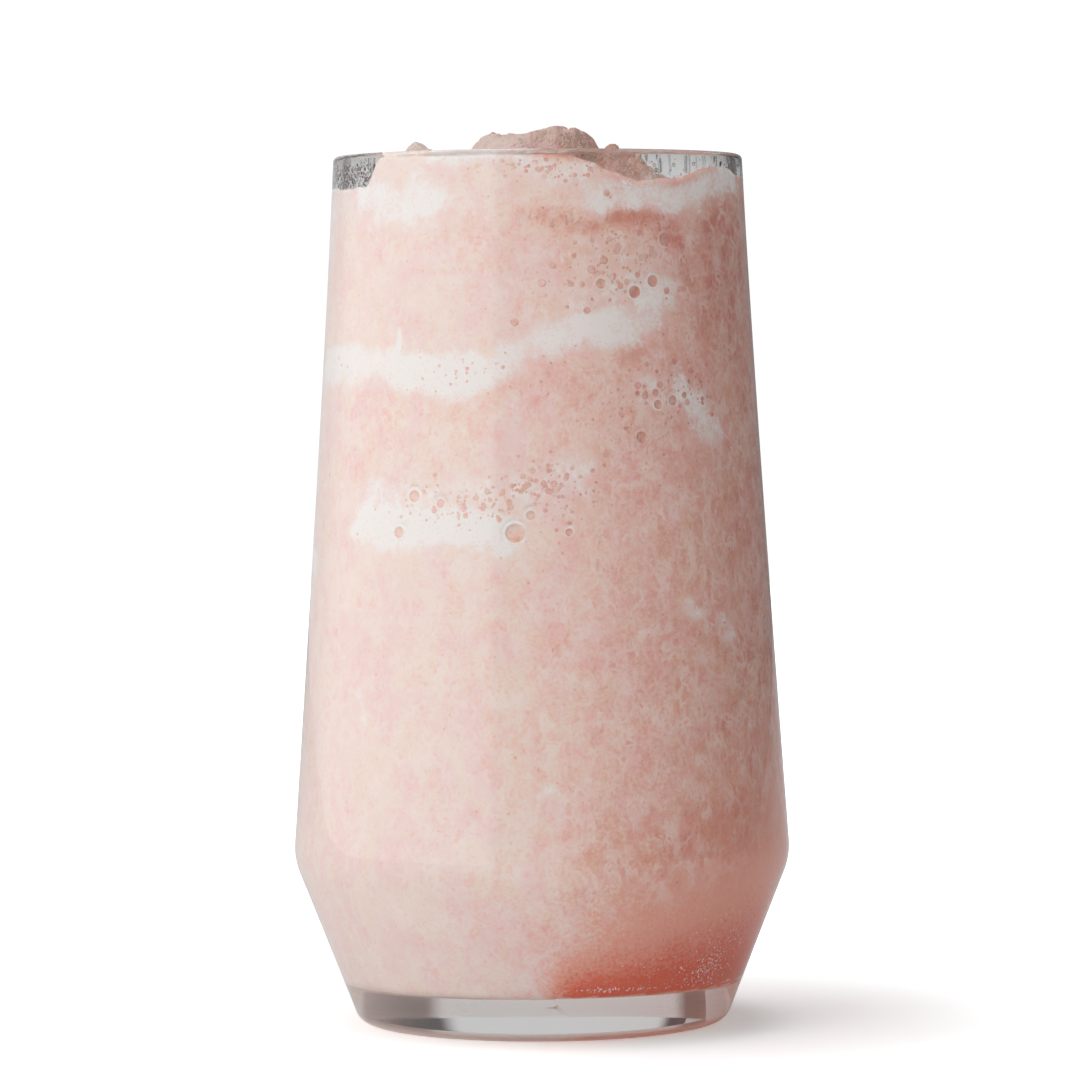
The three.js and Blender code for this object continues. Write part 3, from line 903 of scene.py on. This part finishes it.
speckRandom = np.random.default_rng(wallSpecks["seed"])
scattered = np.stack([
    speckRandom.uniform(-180.0, 180.0, speckScatter["count"]),
    speckRandom.uniform(speckScatter["low"], speckScatter["high"], speckScatter["count"]),
    speckRandom.uniform(wallSpecks["smallest"], speckScatter["largest"], speckScatter["count"]),
], 1)
clusterSpecks = drawSpecks(speckClusters + clustersBehind(speckRandom), speckRandom)
specks, speckRimHighlights = makeSpecks("bubbleSpecks", keptSpecks(np.concatenate([clusterSpecks, scattered])))
paintSpecks(specks, speckRimHighlights, False)
froth, frothRims = makeSpecks("frothSpecks", keptSpecks(drawSpecks(frothClusters, speckRandom)))
paintSpecks(froth, frothRims, True)
print("specks made:", len(speckRimHighlights), "and froth:", len(frothRims))


# Droplets on the bare glass above the drink

# zones are stretches of the wall, from and to in degrees, with how many are drawn there
droplets = {
    "seed": 5,
    "zones": [(-180.0, -50.0, 620), (22.0, 60.0, 70), (60.0, 180.0, 520)],
    "smallest": 0.09,
    "largest": 0.36,
    "rise": 0.55,  # height of a droplet as a share of its radius
    "lowest": 5.6,  # below the rim
    "belowRim": 1.5,
    "aboveDrink": 0.35,
}

# dark bits of fruit stuck to the glass where it is bare at the far left and right
pulpSpecks = {
    "seed": 29,
    "zones": [(-90.0, -50.0, 420), (62.0, 90.0, 120)],
    "smallest": 0.1,
    "largest": 0.32,
    "rise": 0.35,
    "lowest": 5.6,
    "belowRim": 1.8,
    "aboveDrink": 0.1,
    "dark": (0.05, 0.035, 0.035),
    "pale": (0.30, 0.21, 0.19),
}


# domes on the inner wall, small ones far more common than large: each is a flattened circle's curve
# carried round, closed by a flat back that lies a hair inside the wall
def makeDomes(name, kind):
    sunk = 0.01
    random = np.random.default_rng(kind["seed"])
    angle = np.concatenate([random.uniform(*zone) for zone in kind["zones"]])
    count = len(angle)
    z = random.uniform(vessel["height"] - kind["lowest"], vessel["height"] - kind["belowRim"], count)
    rarity = random.uniform(0.0, 1.0, count) ** 2.2
    radius = mixed(kind["smallest"], kind["largest"], rarity)
    bare = z - radius > vessel["height"] - edgeDrop(angle) + kind["aboveDrink"]
    angle, z, radius = (v[bare][:, None, None] for v in (angle, z, radius))
    turn = np.linspace(0.0, 2.0 * math.pi, 8, endpoint=False)[None, None, :]
    climb = np.array([0.0, 0.3, 0.6, 0.85])[None, :, None] * math.pi / 2.0
    reach = radius * np.cos(climb)
    rise = kind["rise"] * radius * np.sin(climb)
    up = -reach * np.sin(turn)
    across = reach * np.cos(turn)
    side = hollowWall(z + up, 0.0) - rise + sunk
    turned = np.radians(angle) + across / hollowWall(z, 0.0)
    copies = np.stack([side * np.sin(turned), -side * np.cos(turned), z + up + 0.0 * rise], -1)
    facing = outwardAt(angle[:, 0, 0])
    wall = hollowWall(z[:, 0, 0], 0.0)[:, None]
    back = np.concatenate([facing * (wall + sunk), z[:, :, 0]], 1)
    front = np.concatenate([facing * (wall - kind["rise"] * radius[:, :, 0]), z[:, :, 0]], 1)
    return meshFromCopies(name, copies, back, front)


rimDroplets = makeDomes("rimDroplets", droplets)
pulp = makeDomes("pulpSpecks", pulpSpecks)
print("droplets and pulp made")


# Materials

# a node with its settings, its plain values and its links, in one line
def addNode(tree, kind, inputs=None, **settings):
    node = tree.nodes.new(kind)
    for name, value in settings.items():
        setattr(node, name, value)
    for name, value in (inputs or {}).items():
        if isinstance(value, bpy.types.NodeSocket):
            tree.links.new(value, node.inputs[name])
        else:
            node.inputs[name].default_value = value
    return node


def mixColours(tree, share, first, second, blend="MIX"):
    node = addNode(tree, "ShaderNodeMix", data_type="RGBA", blend_type=blend)
    for place, value in ((0, share), (6, first), (7, second)):
        if isinstance(value, bpy.types.NodeSocket):
            tree.links.new(value, node.inputs[place])
        elif isinstance(value, tuple):
            node.inputs[place].default_value = (*value, 1.0)
        else:
            node.inputs[place].default_value = value
    return node.outputs[2]


def calculate(tree, operation, first, second=0.0, third=0.0, clamp=False):
    settings = {"operation": operation, "use_clamp": clamp}
    return addNode(tree, "ShaderNodeMath", {0: first, 1: second, 2: third}, **settings).outputs[0]


def combine(tree, operation, first, second):
    return addNode(tree, "ShaderNodeVectorMath", {0: first, 1: second}, operation=operation).outputs[0]


# value brought from one range to another, held at the ends
def ranged(tree, value, low, high, toLow=0.0, toHigh=1.0):
    inputs = {"Value": value, "From Min": low, "From Max": high, "To Min": toLow, "To Max": toHigh}
    return addNode(tree, "ShaderNodeMapRange", inputs, interpolation_type="SMOOTHSTEP").outputs["Result"]


def newGroup(name, inputs, outputs):
    group = bpy.data.node_groups.new(name, "ShaderNodeTree")
    for socketName, kind in inputs:
        group.interface.new_socket(name=socketName, in_out="INPUT", socket_type=kind)
    for socketName, kind in outputs:
        group.interface.new_socket(name=socketName, in_out="OUTPUT", socket_type=kind)
    return group, group.nodes.new("NodeGroupInput"), group.nodes.new("NodeGroupOutput")


def newMaterial(name):
    material = bpy.data.materials.new(name)
    material.use_nodes = True
    material.node_tree.nodes.clear()
    return material, material.node_tree


# blended ice. Patches are clouds and Streaks are drawn out upwards; Web is a pale net on the walls
# between bent cells of three sizes, kept in places; Lumps are the cells' middles; Hue wanders slowly;
# Grain is fine; Pinholes are dark dots among the froth. Cells and Grains are in cells per metre
def makeSlushGroup():
    inputs = [("Vector", "NodeSocketVector"), ("Cells", "NodeSocketFloat"), ("Grains", "NodeSocketFloat")]
    names = ("Patches", "Streaks", "Web", "Lumps", "Hue", "Grain", "Pinholes")
    group, given, result = newGroup("slushDetail", inputs, [(name, "NodeSocketFloat") for name in names])
    place = given.outputs["Vector"]

    def drawnOut(height):
        return addNode(group, "ShaderNodeMapping", {"Vector": place, "Scale": (1.0, 1.0, height)}).outputs[0]

    def noise(vector, scale, detail, roughness=0.55, distortion=0.0):
        inputs = {"Vector": vector, "Scale": scale, "Detail": detail, "Roughness": roughness}
        return addNode(group, "ShaderNodeTexNoise", {**inputs, "Distortion": distortion})

    def pushed(vector, scale, detail, amount):
        bend = combine(group, "SUBTRACT", noise(vector, scale, detail).outputs["Color"], (0.5, 0.5, 0.5))
        push = addNode(group, "ShaderNodeVectorMath", {0: bend, "Scale": amount}, operation="SCALE")
        return combine(group, "ADD", vector, push.outputs[0])

    def edgeDistance(vector, scale):
        inputs = {"Vector": vector, "Scale": scale}
        return addNode(group, "ShaderNodeTexVoronoi", inputs, feature="DISTANCE_TO_EDGE").outputs[0]

    def seams(distance, halfWidth, kept, strength):
        seam = ranged(group, distance, 0.15 * halfWidth, halfWidth, strength, 0.0)
        return calculate(group, "MULTIPLY", seam, kept)

    def keptWhere(scale, low, high):
        return ranged(group, noise(place, scale, 3.0).outputs[0], low, high)

    bent = pushed(drawnOut(0.75), 260.0, 5.0, 0.007)
    cells = given.outputs["Cells"]
    middleCells = edgeDistance(bent, calculate(group, "MULTIPLY", cells, 2.1))
    fineCells = edgeDistance(bent, calculate(group, "MULTIPLY", cells, 4.6))
    coarse = seams(edgeDistance(bent, cells), 0.13, keptWhere(170.0, 0.46, 0.68), 0.6)
    middle = seams(middleCells, 0.2, keptWhere(230.0, 0.42, 0.68), 0.85)
    fine = seams(fineCells, 0.3, keptWhere(330.0, 0.4, 0.7), 0.9)
    web = calculate(group, "MAXIMUM", coarse, calculate(group, "MAXIMUM", middle, fine))
    made = {
        "Patches": noise(bent, 330.0, 6.0, 0.66).outputs[0],
        "Streaks": noise(drawnOut(0.16), 420.0, 3.0, 0.6).outputs[0],
        "Web": web,
        "Lumps": ranged(group, middleCells, 0.08, 0.42),
        "Hue": noise(drawnOut(0.7), 170.0, 4.0, 0.6, 0.6).outputs[0],
        "Grain": noise(place, given.outputs["Grains"], 3.0, 0.7).outputs[0],
    }
    holes = addNode(group, "ShaderNodeTexVoronoi", {"Vector": place, "Scale": 1500.0}, feature="F1")
    made["Pinholes"] = ranged(group, holes.outputs["Distance"], 0.12, 0.3, 1.0, 0.0)
    for name, value in made.items():
        group.links.new(value, result.inputs[name])
    return group


drinkFinish = {
    "pale": (0.925, 0.755, 0.695),
    "middle": (0.92, 0.64, 0.565),
    "deep": (0.83, 0.46, 0.37),
    "deepest": (0.72, 0.31, 0.235),
    "foam": (0.94, 0.915, 0.895),
    "web": (0.95, 0.87, 0.83),
    "cream": (1.0, 1.035, 1.005),
    "pink": (1.0, 0.955, 0.99),
    "salmon": (0.90, 0.42, 0.315),
    "syrup": (0.80, 0.135, 0.065),
    "topPaintedShadeLeft": (0.95, 0.915, 0.90),  # painted shade: what the open top's colours are multiplied by on the left
    "topPaintedShadeRight": (0.80, 0.70, 0.655),  # and on the right, where the painted shade is deeper
    "cells": 190.0,
    "grains": 1800.0,
}


# a ramp of rosiness, the slush's own unevenness laid over it, then syrup, web and foam on top, and painted
# shade over the open top
def makeDrinkMaterial(slush):
    material, tree = newMaterial("blendedDrink")
    place = addNode(tree, "ShaderNodeTexCoord").outputs["Object"]
    tones = addNode(tree, "ShaderNodeAttribute", attribute_name="tones", attribute_type="GEOMETRY")
    shares = addNode(tree, "ShaderNodeSeparateColor", {"Color": tones.outputs["Color"]})
    foam, rose, syrup = shares.outputs[0], shares.outputs[1], shares.outputs[2]
    openTop = tones.outputs["Alpha"]
    under = addNode(tree, "ShaderNodeAttribute", attribute_name="underside", attribute_type="GEOMETRY")
    syrup = calculate(tree, "MULTIPLY", syrup, ranged(tree, under.outputs["Fac"], 0.0, 1.0, 1.0, 0.4))
    detail = addNode(tree, "ShaderNodeGroup", node_tree=slush)
    tree.links.new(place, detail.inputs["Vector"])
    detail.inputs["Cells"].default_value = drinkFinish["cells"]
    detail.inputs["Grains"].default_value = drinkFinish["grains"]
    patches, grain, lumps = (detail.outputs[name] for name in ("Patches", "Grain", "Lumps"))

    def centred(value, strength, onto):
        return calculate(tree, "MULTIPLY_ADD", value, strength, calculate(tree, "ADD", onto, -0.5 * strength))

    # the rose share carries its painted shade towards +X into rosiness, and with it the deep and deepest
    # colours
    rosiness = centred(grain, 1.35, centred(patches, 1.25, rose))
    rosiness = centred(lumps, 0.2, centred(detail.outputs["Streaks"], 0.3, rosiness))
    ramp = addNode(tree, "ShaderNodeValToRGB", {"Fac": rosiness})
    stops = ramp.color_ramp.elements
    stops[0].position, stops[0].color = 0.0, (*drinkFinish["pale"], 1.0)
    stops[1].position, stops[1].color = 1.0, (*drinkFinish["deep"], 1.0)
    halfway = stops.new(0.5)
    halfway.color = (*drinkFinish["middle"], 1.0)
    colour = mixColours(tree, ranged(tree, rosiness, 1.0, 1.55), ramp.outputs[0], drinkFinish["deepest"])
    drift = mixColours(
        tree, ranged(tree, detail.outputs["Hue"], 0.4, 0.6), drinkFinish["pink"], drinkFinish["cream"]
    )
    colour = mixColours(tree, 1.0, colour, drift, "MULTIPLY")
    syrupShare = centred(grain, 1.0, syrup)
    colour = mixColours(tree, ranged(tree, syrupShare, 0.02, 0.6), colour, drinkFinish["salmon"])
    colour = mixColours(tree, ranged(tree, syrupShare, 0.48, 1.05), colour, drinkFinish["syrup"])
    webShare = calculate(tree, "MULTIPLY", detail.outputs["Web"], ranged(tree, syrup, 0.1, 0.6, 0.58, 0.0))
    colour = mixColours(tree, webShare, colour, drinkFinish["web"])
    frothy = centred(patches, 1.3, centred(grain, 0.9, foam))
    colour = mixColours(tree, ranged(tree, frothy, 0.22, 0.8), colour, drinkFinish["foam"])
    holes = calculate(tree, "MULTIPLY", detail.outputs["Pinholes"], ranged(tree, foam, 0.1, 0.5, 0.0, 0.25))
    colour = mixColours(tree, holes, colour, drinkFinish["deep"])
    # painted shade on the open top: its colours are darkened, more where the rose share is high, towards +X
    shade = mixColours(tree, ranged(tree, rose, 0.2, 0.7), drinkFinish["topPaintedShadeLeft"], drinkFinish["topPaintedShadeRight"])
    topWithPaintedShade = mixColours(tree, 1.0, colour, shade, "MULTIPLY")
    colour = mixColours(tree, openTop, colour, topWithPaintedShade)
    rough = ranged(tree, grain, 0.35, 0.65, 0.4, 0.6)
    rough = calculate(tree, "MULTIPLY", rough, ranged(tree, under.outputs["Fac"], 0.0, 1.0, 1.0, 0.04))
    relief = calculate(tree, "MULTIPLY", calculate(tree, "MULTIPLY_ADD", patches, 0.5, grain), openTop)
    bump = addNode(tree, "ShaderNodeBump", {"Height": relief, "Distance": 0.0011, "Strength": 0.8})
    shader = addNode(tree, "ShaderNodeBsdfPrincipled", {
        "Base Color": colour, "Roughness": rough, "Normal": bump.outputs[0], "IOR": 1.36,
    })
    addNode(tree, "ShaderNodeOutputMaterial", {"Surface": shader.outputs[0]})
    return material


glassFinish = {"tint": (0.985, 0.99, 0.99), "clear": 0.012, "misted": 0.06}


# light passes straight through to what the glass holds, while the eye sees it bend and gleam
def makeGlassMaterial(name, misted, waviness):
    material, tree = newMaterial(name)
    place = addNode(tree, "ShaderNodeTexCoord").outputs["Object"]
    mist = addNode(tree, "ShaderNodeTexNoise", {"Vector": place, "Scale": 60.0, "Detail": 4.0})
    rough = ranged(tree, mist.outputs[0], 0.4, 0.75, glassFinish["clear"], misted)
    waves = addNode(tree, "ShaderNodeTexNoise", {"Vector": place, "Scale": 45.0, "Detail": 1.0})
    bump = addNode(tree, "ShaderNodeBump", {
        "Height": waves.outputs[0], "Distance": 0.001, "Strength": waviness,
    })
    shader = addNode(tree, "ShaderNodeBsdfPrincipled", {
        "Base Color": (*glassFinish["tint"], 1.0), "Roughness": rough, "Normal": bump.outputs[0],
        "IOR": 1.5, "Transmission Weight": 1.0, "Metallic": 0.0,
    })
    through = addNode(tree, "ShaderNodeBsdfTransparent")
    path = addNode(tree, "ShaderNodeLightPath")
    blend = addNode(tree, "ShaderNodeMixShader", {0: path.outputs["Is Shadow Ray"]})
    tree.links.new(shader.outputs[0], blend.inputs[1])
    tree.links.new(through.outputs[0], blend.inputs[2])
    addNode(tree, "ShaderNodeOutputMaterial", {"Surface": blend.outputs[0]})
    return material


# dark wet pulp, paler in places
def makePulpMaterial():
    material, tree = newMaterial("fruitPulp")
    place = addNode(tree, "ShaderNodeTexCoord").outputs["Object"]
    mottle = addNode(tree, "ShaderNodeTexNoise", {"Vector": place, "Scale": 700.0, "Detail": 2.0})
    share = ranged(tree, mottle.outputs[0], 0.45, 0.75)
    colour = mixColours(tree, share, pulpSpecks["dark"], pulpSpecks["pale"])
    rough = ranged(tree, mottle.outputs[0], 0.35, 0.65, 0.3, 0.5)
    shader = addNode(tree, "ShaderNodeBsdfPrincipled", {"Base Color": colour, "Roughness": rough})
    addNode(tree, "ShaderNodeOutputMaterial", {"Surface": shader.outputs[0]})
    return material


slushGroup = makeSlushGroup()
drinkMaterial = makeDrinkMaterial(slushGroup)
glassMaterial = makeGlassMaterial("clearGlass", glassFinish["misted"], 0.05)
dropletMaterial = makeGlassMaterial("waterDroplets", 0.1, 0.2)
for made in (smoothieBody, syrupBody, cups, specks, froth):
    made.data.materials.append(drinkMaterial)
glassBody.data.materials.append(glassMaterial)
rimDroplets.data.materials.append(dropletMaterial)
pulp.data.materials.append(makePulpMaterial())
print("materials made")


# Each piece rides on the one body, and the model's part that it replaces is hidden

for made, replaced, slotName in (
    (glassBody, "glass", "glass"),
    (smoothieBody, "smoothie", "smoothie"),
    (syrupBody, "strawberry_syrup", "syrup"),
    (cups, None, "smoothie"),
    (specks, None, "smoothie"),
    (froth, None, "smoothie"),
    (rimDroplets, None, "glass"),
    (pulp, None, "smoothie"),
):
    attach(made, "root")
    if replaced:
        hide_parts(replaced)


# Floor, light and camera

floorFinish = {
    "radius": 1.6,
    "drop": 0.0002,
    "seen": (1.12, 1.14, 1.145),  # as the picture takes it
    "seenNear": (0.90, 1.12, 1.14),  # right of the glass, cooler to cancel the pink light that the syrup bounces onto it
    "nearTo": 0.028,  # metres from the middle, as the next three
    "farFrom": 0.052,
    "bounced": 0.8,  # as light on the drink
    "glow": 0.4,  # of its own that lights the drink
    "lift": 0.2,  # glow of its own that the camera sees near the glass
    "whiteFrom": 0.05,  # where that glow starts to grow to white
    "whiteTo": 0.16,
}


# a round flat sheet; to the camera it glows white, more so away from the glass, where the glow washes out
# its shadow, and its own glow lights the drink from below. Through the glass it doesn't show: the eye sees
# the surroundings there
def makeFloor():
    turn = np.linspace(0.0, 2.0 * math.pi, 96, endpoint=False)
    radius = floorFinish["radius"] / metresPerMm
    drop = -floorFinish["drop"] / metresPerMm
    rim = np.stack([radius * np.cos(turn), radius * np.sin(turn), drop + 0.0 * turn], 1)
    column = np.arange(len(turn))
    fan = np.stack([np.zeros_like(column), column + 1, (column + 1) % len(turn) + 1], 1)
    points = np.concatenate([[(0.0, 0.0, drop)], rim])
    made = makeMesh("floor", points, np.zeros((0, 4), dtype=int), fan)
    material, tree = newMaterial("paleFloor")
    place = addNode(tree, "ShaderNodeTexCoord").outputs["Object"]
    path = addNode(tree, "ShaderNodeLightPath")
    lighting = calculate(tree, "MINIMUM", path.outputs["Diffuse Depth"], 1.0)
    distance = addNode(tree, "ShaderNodeVectorMath", {0: place}, operation="LENGTH").outputs["Value"]
    near = ranged(tree, distance, floorFinish["nearTo"], floorFinish["farFrom"], 1.0, 0.0)
    right = ranged(tree, addNode(tree, "ShaderNodeSeparateXYZ", {"Vector": place}).outputs["X"], 0.0, 0.02)
    near = calculate(tree, "MULTIPLY", near, right)
    seen = mixColours(tree, near, floorFinish["seen"], floorFinish["seenNear"])
    colour = mixColours(tree, path.outputs["Is Camera Ray"], (floorFinish["bounced"],) * 3, seen)
    whiteFrom, whiteTo = floorFinish["whiteFrom"], floorFinish["whiteTo"]
    cameraGlow = ranged(tree, distance, whiteFrom, whiteTo, floorFinish["lift"], 1.0)
    cameraGlow = calculate(tree, "MULTIPLY", cameraGlow, path.outputs["Is Camera Ray"])
    glow = calculate(tree, "MULTIPLY", lighting, floorFinish["glow"])
    shader = addNode(tree, "ShaderNodeBsdfPrincipled", {
        "Base Color": colour, "Roughness": 0.7, "Emission Color": (1.0, 1.0, 1.0, 1.0),
        "Emission Strength": calculate(tree, "ADD", cameraGlow, glow),
    })
    shader.inputs["Specular IOR Level"].default_value = 0.1
    through = addNode(tree, "ShaderNodeBsdfTransparent")
    direct = calculate(tree, "SUBTRACT", path.outputs["Is Transmission Ray"], lighting, clamp=True)
    blend = addNode(tree, "ShaderNodeMixShader", {0: direct})
    tree.links.new(shader.outputs[0], blend.inputs[1])
    tree.links.new(through.outputs[0], blend.inputs[2])
    addNode(tree, "ShaderNodeOutputMaterial", {"Surface": blend.outputs[0]})
    made.data.materials.append(material)


# an upright or tilted soft panel that shines at the drink; neither seen nor mirrored itself
def addPanel(name, angle, distance, height, width, tall, watts):
    light = bpy.data.lights.new(name, "AREA")
    light.shape = "RECTANGLE"
    light.size, light.size_y, light.energy = width, tall, watts
    panel = bpy.data.objects.new(name, light)
    turned = math.radians(angle)
    panel.location = (distance * math.sin(turned), -distance * math.cos(turned), height)
    aim = Vector((0.0, 0.0, 0.07)) - panel.location
    panel.rotation_euler = aim.to_track_quat("-Z", "Y").to_euler()
    panel.visible_camera = False
    panel.visible_glossy = False
    bpy.context.scene.collection.objects.link(panel)


surroundings = {
    "seen": 1.05,  # behind everything
    "onFloor": 0.26,  # as light on what lies bare
    "onDrink": 0.38,  # as light that reaches the drink through the glass
    "inGlass": 0.57,  # what shows bent through the glass, straight behind it
    "inGlassLow": 0.46,  # and below that, through the base
    "leftwards": 0.09,  # by which the middle of that lies to the left
    "inGlassSide": 0.07,  # and away to the sides, which the droplets and the base gather
    "sideFrom": 0.46,  # how far aside the bent ray points where the dark sides begin
    "sideTo": 0.6,
    "pastFrom": 1.6,  # where the dark sides end again
    "pastTo": 2.4,
    "steepness": 0.5,  # how much its rise or fall counts as aside
    "gleam": 1.35,  # what the glass mirrors on its left
    "gleamBehind": 0.68,  # what it mirrors at its left edge
    "gleamDim": 0.22,  # what it mirrors on its right
}

# directions in degrees from the camera's side, negative towards the left
gleamTurns = {"dimFrom": -20.0, "fullFrom": -27.0, "fullTo": -108.0, "behindFrom": -146.0}


# a plain studio. Mirrored, it is soft white on the left, dim on the right and pale behind. Bent through
# the glass, it is pale with a dark stretch on either side: aside is the ray's way sideways, with a share
# of its rise, for one step back or forth
def makeSurroundings():
    world = bpy.data.worlds.new("paleStudio")
    world.use_nodes = True
    tree = world.node_tree
    tree.nodes.clear()
    grey = lambda name: (surroundings[name],) * 3
    turns = {name: math.radians(turn) for name, turn in gleamTurns.items()}
    direction = addNode(tree, "ShaderNodeTexCoord").outputs["Generated"]
    parts = addNode(tree, "ShaderNodeSeparateXYZ", {"Vector": direction})
    forward = calculate(tree, "MULTIPLY", parts.outputs["Y"], -1.0)
    turn = calculate(tree, "ARCTAN2", parts.outputs["X"], forward)
    left = ranged(tree, turn, turns["fullFrom"], turns["dimFrom"], 1.0, 0.0)
    beside = ranged(tree, turn, turns["behindFrom"], turns["fullTo"])
    mirrored = mixColours(tree, beside, grey("gleamBehind"), grey("gleam"))
    mirrored = mixColours(tree, left, grey("gleamDim"), mirrored)
    across = calculate(tree, "ADD", parts.outputs["X"], surroundings["leftwards"])
    steep = calculate(tree, "MULTIPLY", parts.outputs["Z"], surroundings["steepness"])
    sideways = addNode(tree, "ShaderNodeCombineXYZ", {"X": across, "Y": steep})
    aside = addNode(tree, "ShaderNodeVectorMath", {0: sideways.outputs[0]}, operation="LENGTH")
    aside = calculate(tree, "DIVIDE", aside.outputs["Value"], calculate(tree, "ABSOLUTE", parts.outputs["Y"]))
    reached = ranged(tree, aside, surroundings["sideFrom"], surroundings["sideTo"])
    passed = ranged(tree, aside, surroundings["pastFrom"], surroundings["pastTo"])
    dark = calculate(tree, "SUBTRACT", reached, passed)
    level = ranged(tree, parts.outputs["Z"], -0.1, 0.0)
    behind = mixColours(tree, level, grey("inGlassLow"), grey("inGlass"))
    bent = mixColours(tree, dark, behind, grey("inGlassSide"))
    path = addNode(tree, "ShaderNodeLightPath")
    colour = mixColours(tree, path.outputs["Is Transmission Ray"], mirrored, bent)
    lighting = calculate(tree, "MINIMUM", path.outputs["Diffuse Depth"], 1.0)
    colour = mixColours(tree, lighting, colour, grey("onDrink"))
    colour = mixColours(tree, path.outputs["Is Diffuse Ray"], colour, grey("onFloor"))
    colour = mixColours(tree, path.outputs["Is Camera Ray"], colour, grey("seen"))
    background = addNode(tree, "ShaderNodeBackground", {"Color": colour})
    addNode(tree, "ShaderNodeOutputWorld", {"Surface": background.outputs[0]})
    bpy.context.scene.world = world


cameraView = {"distance": 0.850, "height": 0.1088, "pitch": 2.08, "roll": -0.38, "lens": 175.07}


def makeCamera():
    lens = bpy.data.cameras.new("camera")
    lens.lens, lens.sensor_width = cameraView["lens"], 36.0
    lens.clip_start, lens.clip_end = 0.01, 100.0
    camera = bpy.data.objects.new("camera", lens)
    camera.location = (0.0, -cameraView["distance"], cameraView["height"])
    tilt = Matrix.Rotation(math.radians(90.0 - cameraView["pitch"]), 4, "X")
    roll = Matrix.Rotation(math.radians(cameraView["roll"]), 4, "Z")
    camera.rotation_euler = (tilt @ roll).to_euler()
    bpy.context.scene.collection.objects.link(camera)
    bpy.context.scene.camera = camera


makeFloor()
makeSurroundings()
addPanel("nearPanel", -37.0, 1.3, 0.30, 0.62, 1.9, 5.4)
addPanel("widePanel", -92.0, 1.5, 0.40, 3.0, 2.0, 6.9)
addPanel("topPanel", -80.0, 0.35, 1.6, 1.3, 1.3, 14.0)
makeCamera()
bpy.context.scene.view_settings.view_transform = "Standard"
print("stage, lights and camera made")
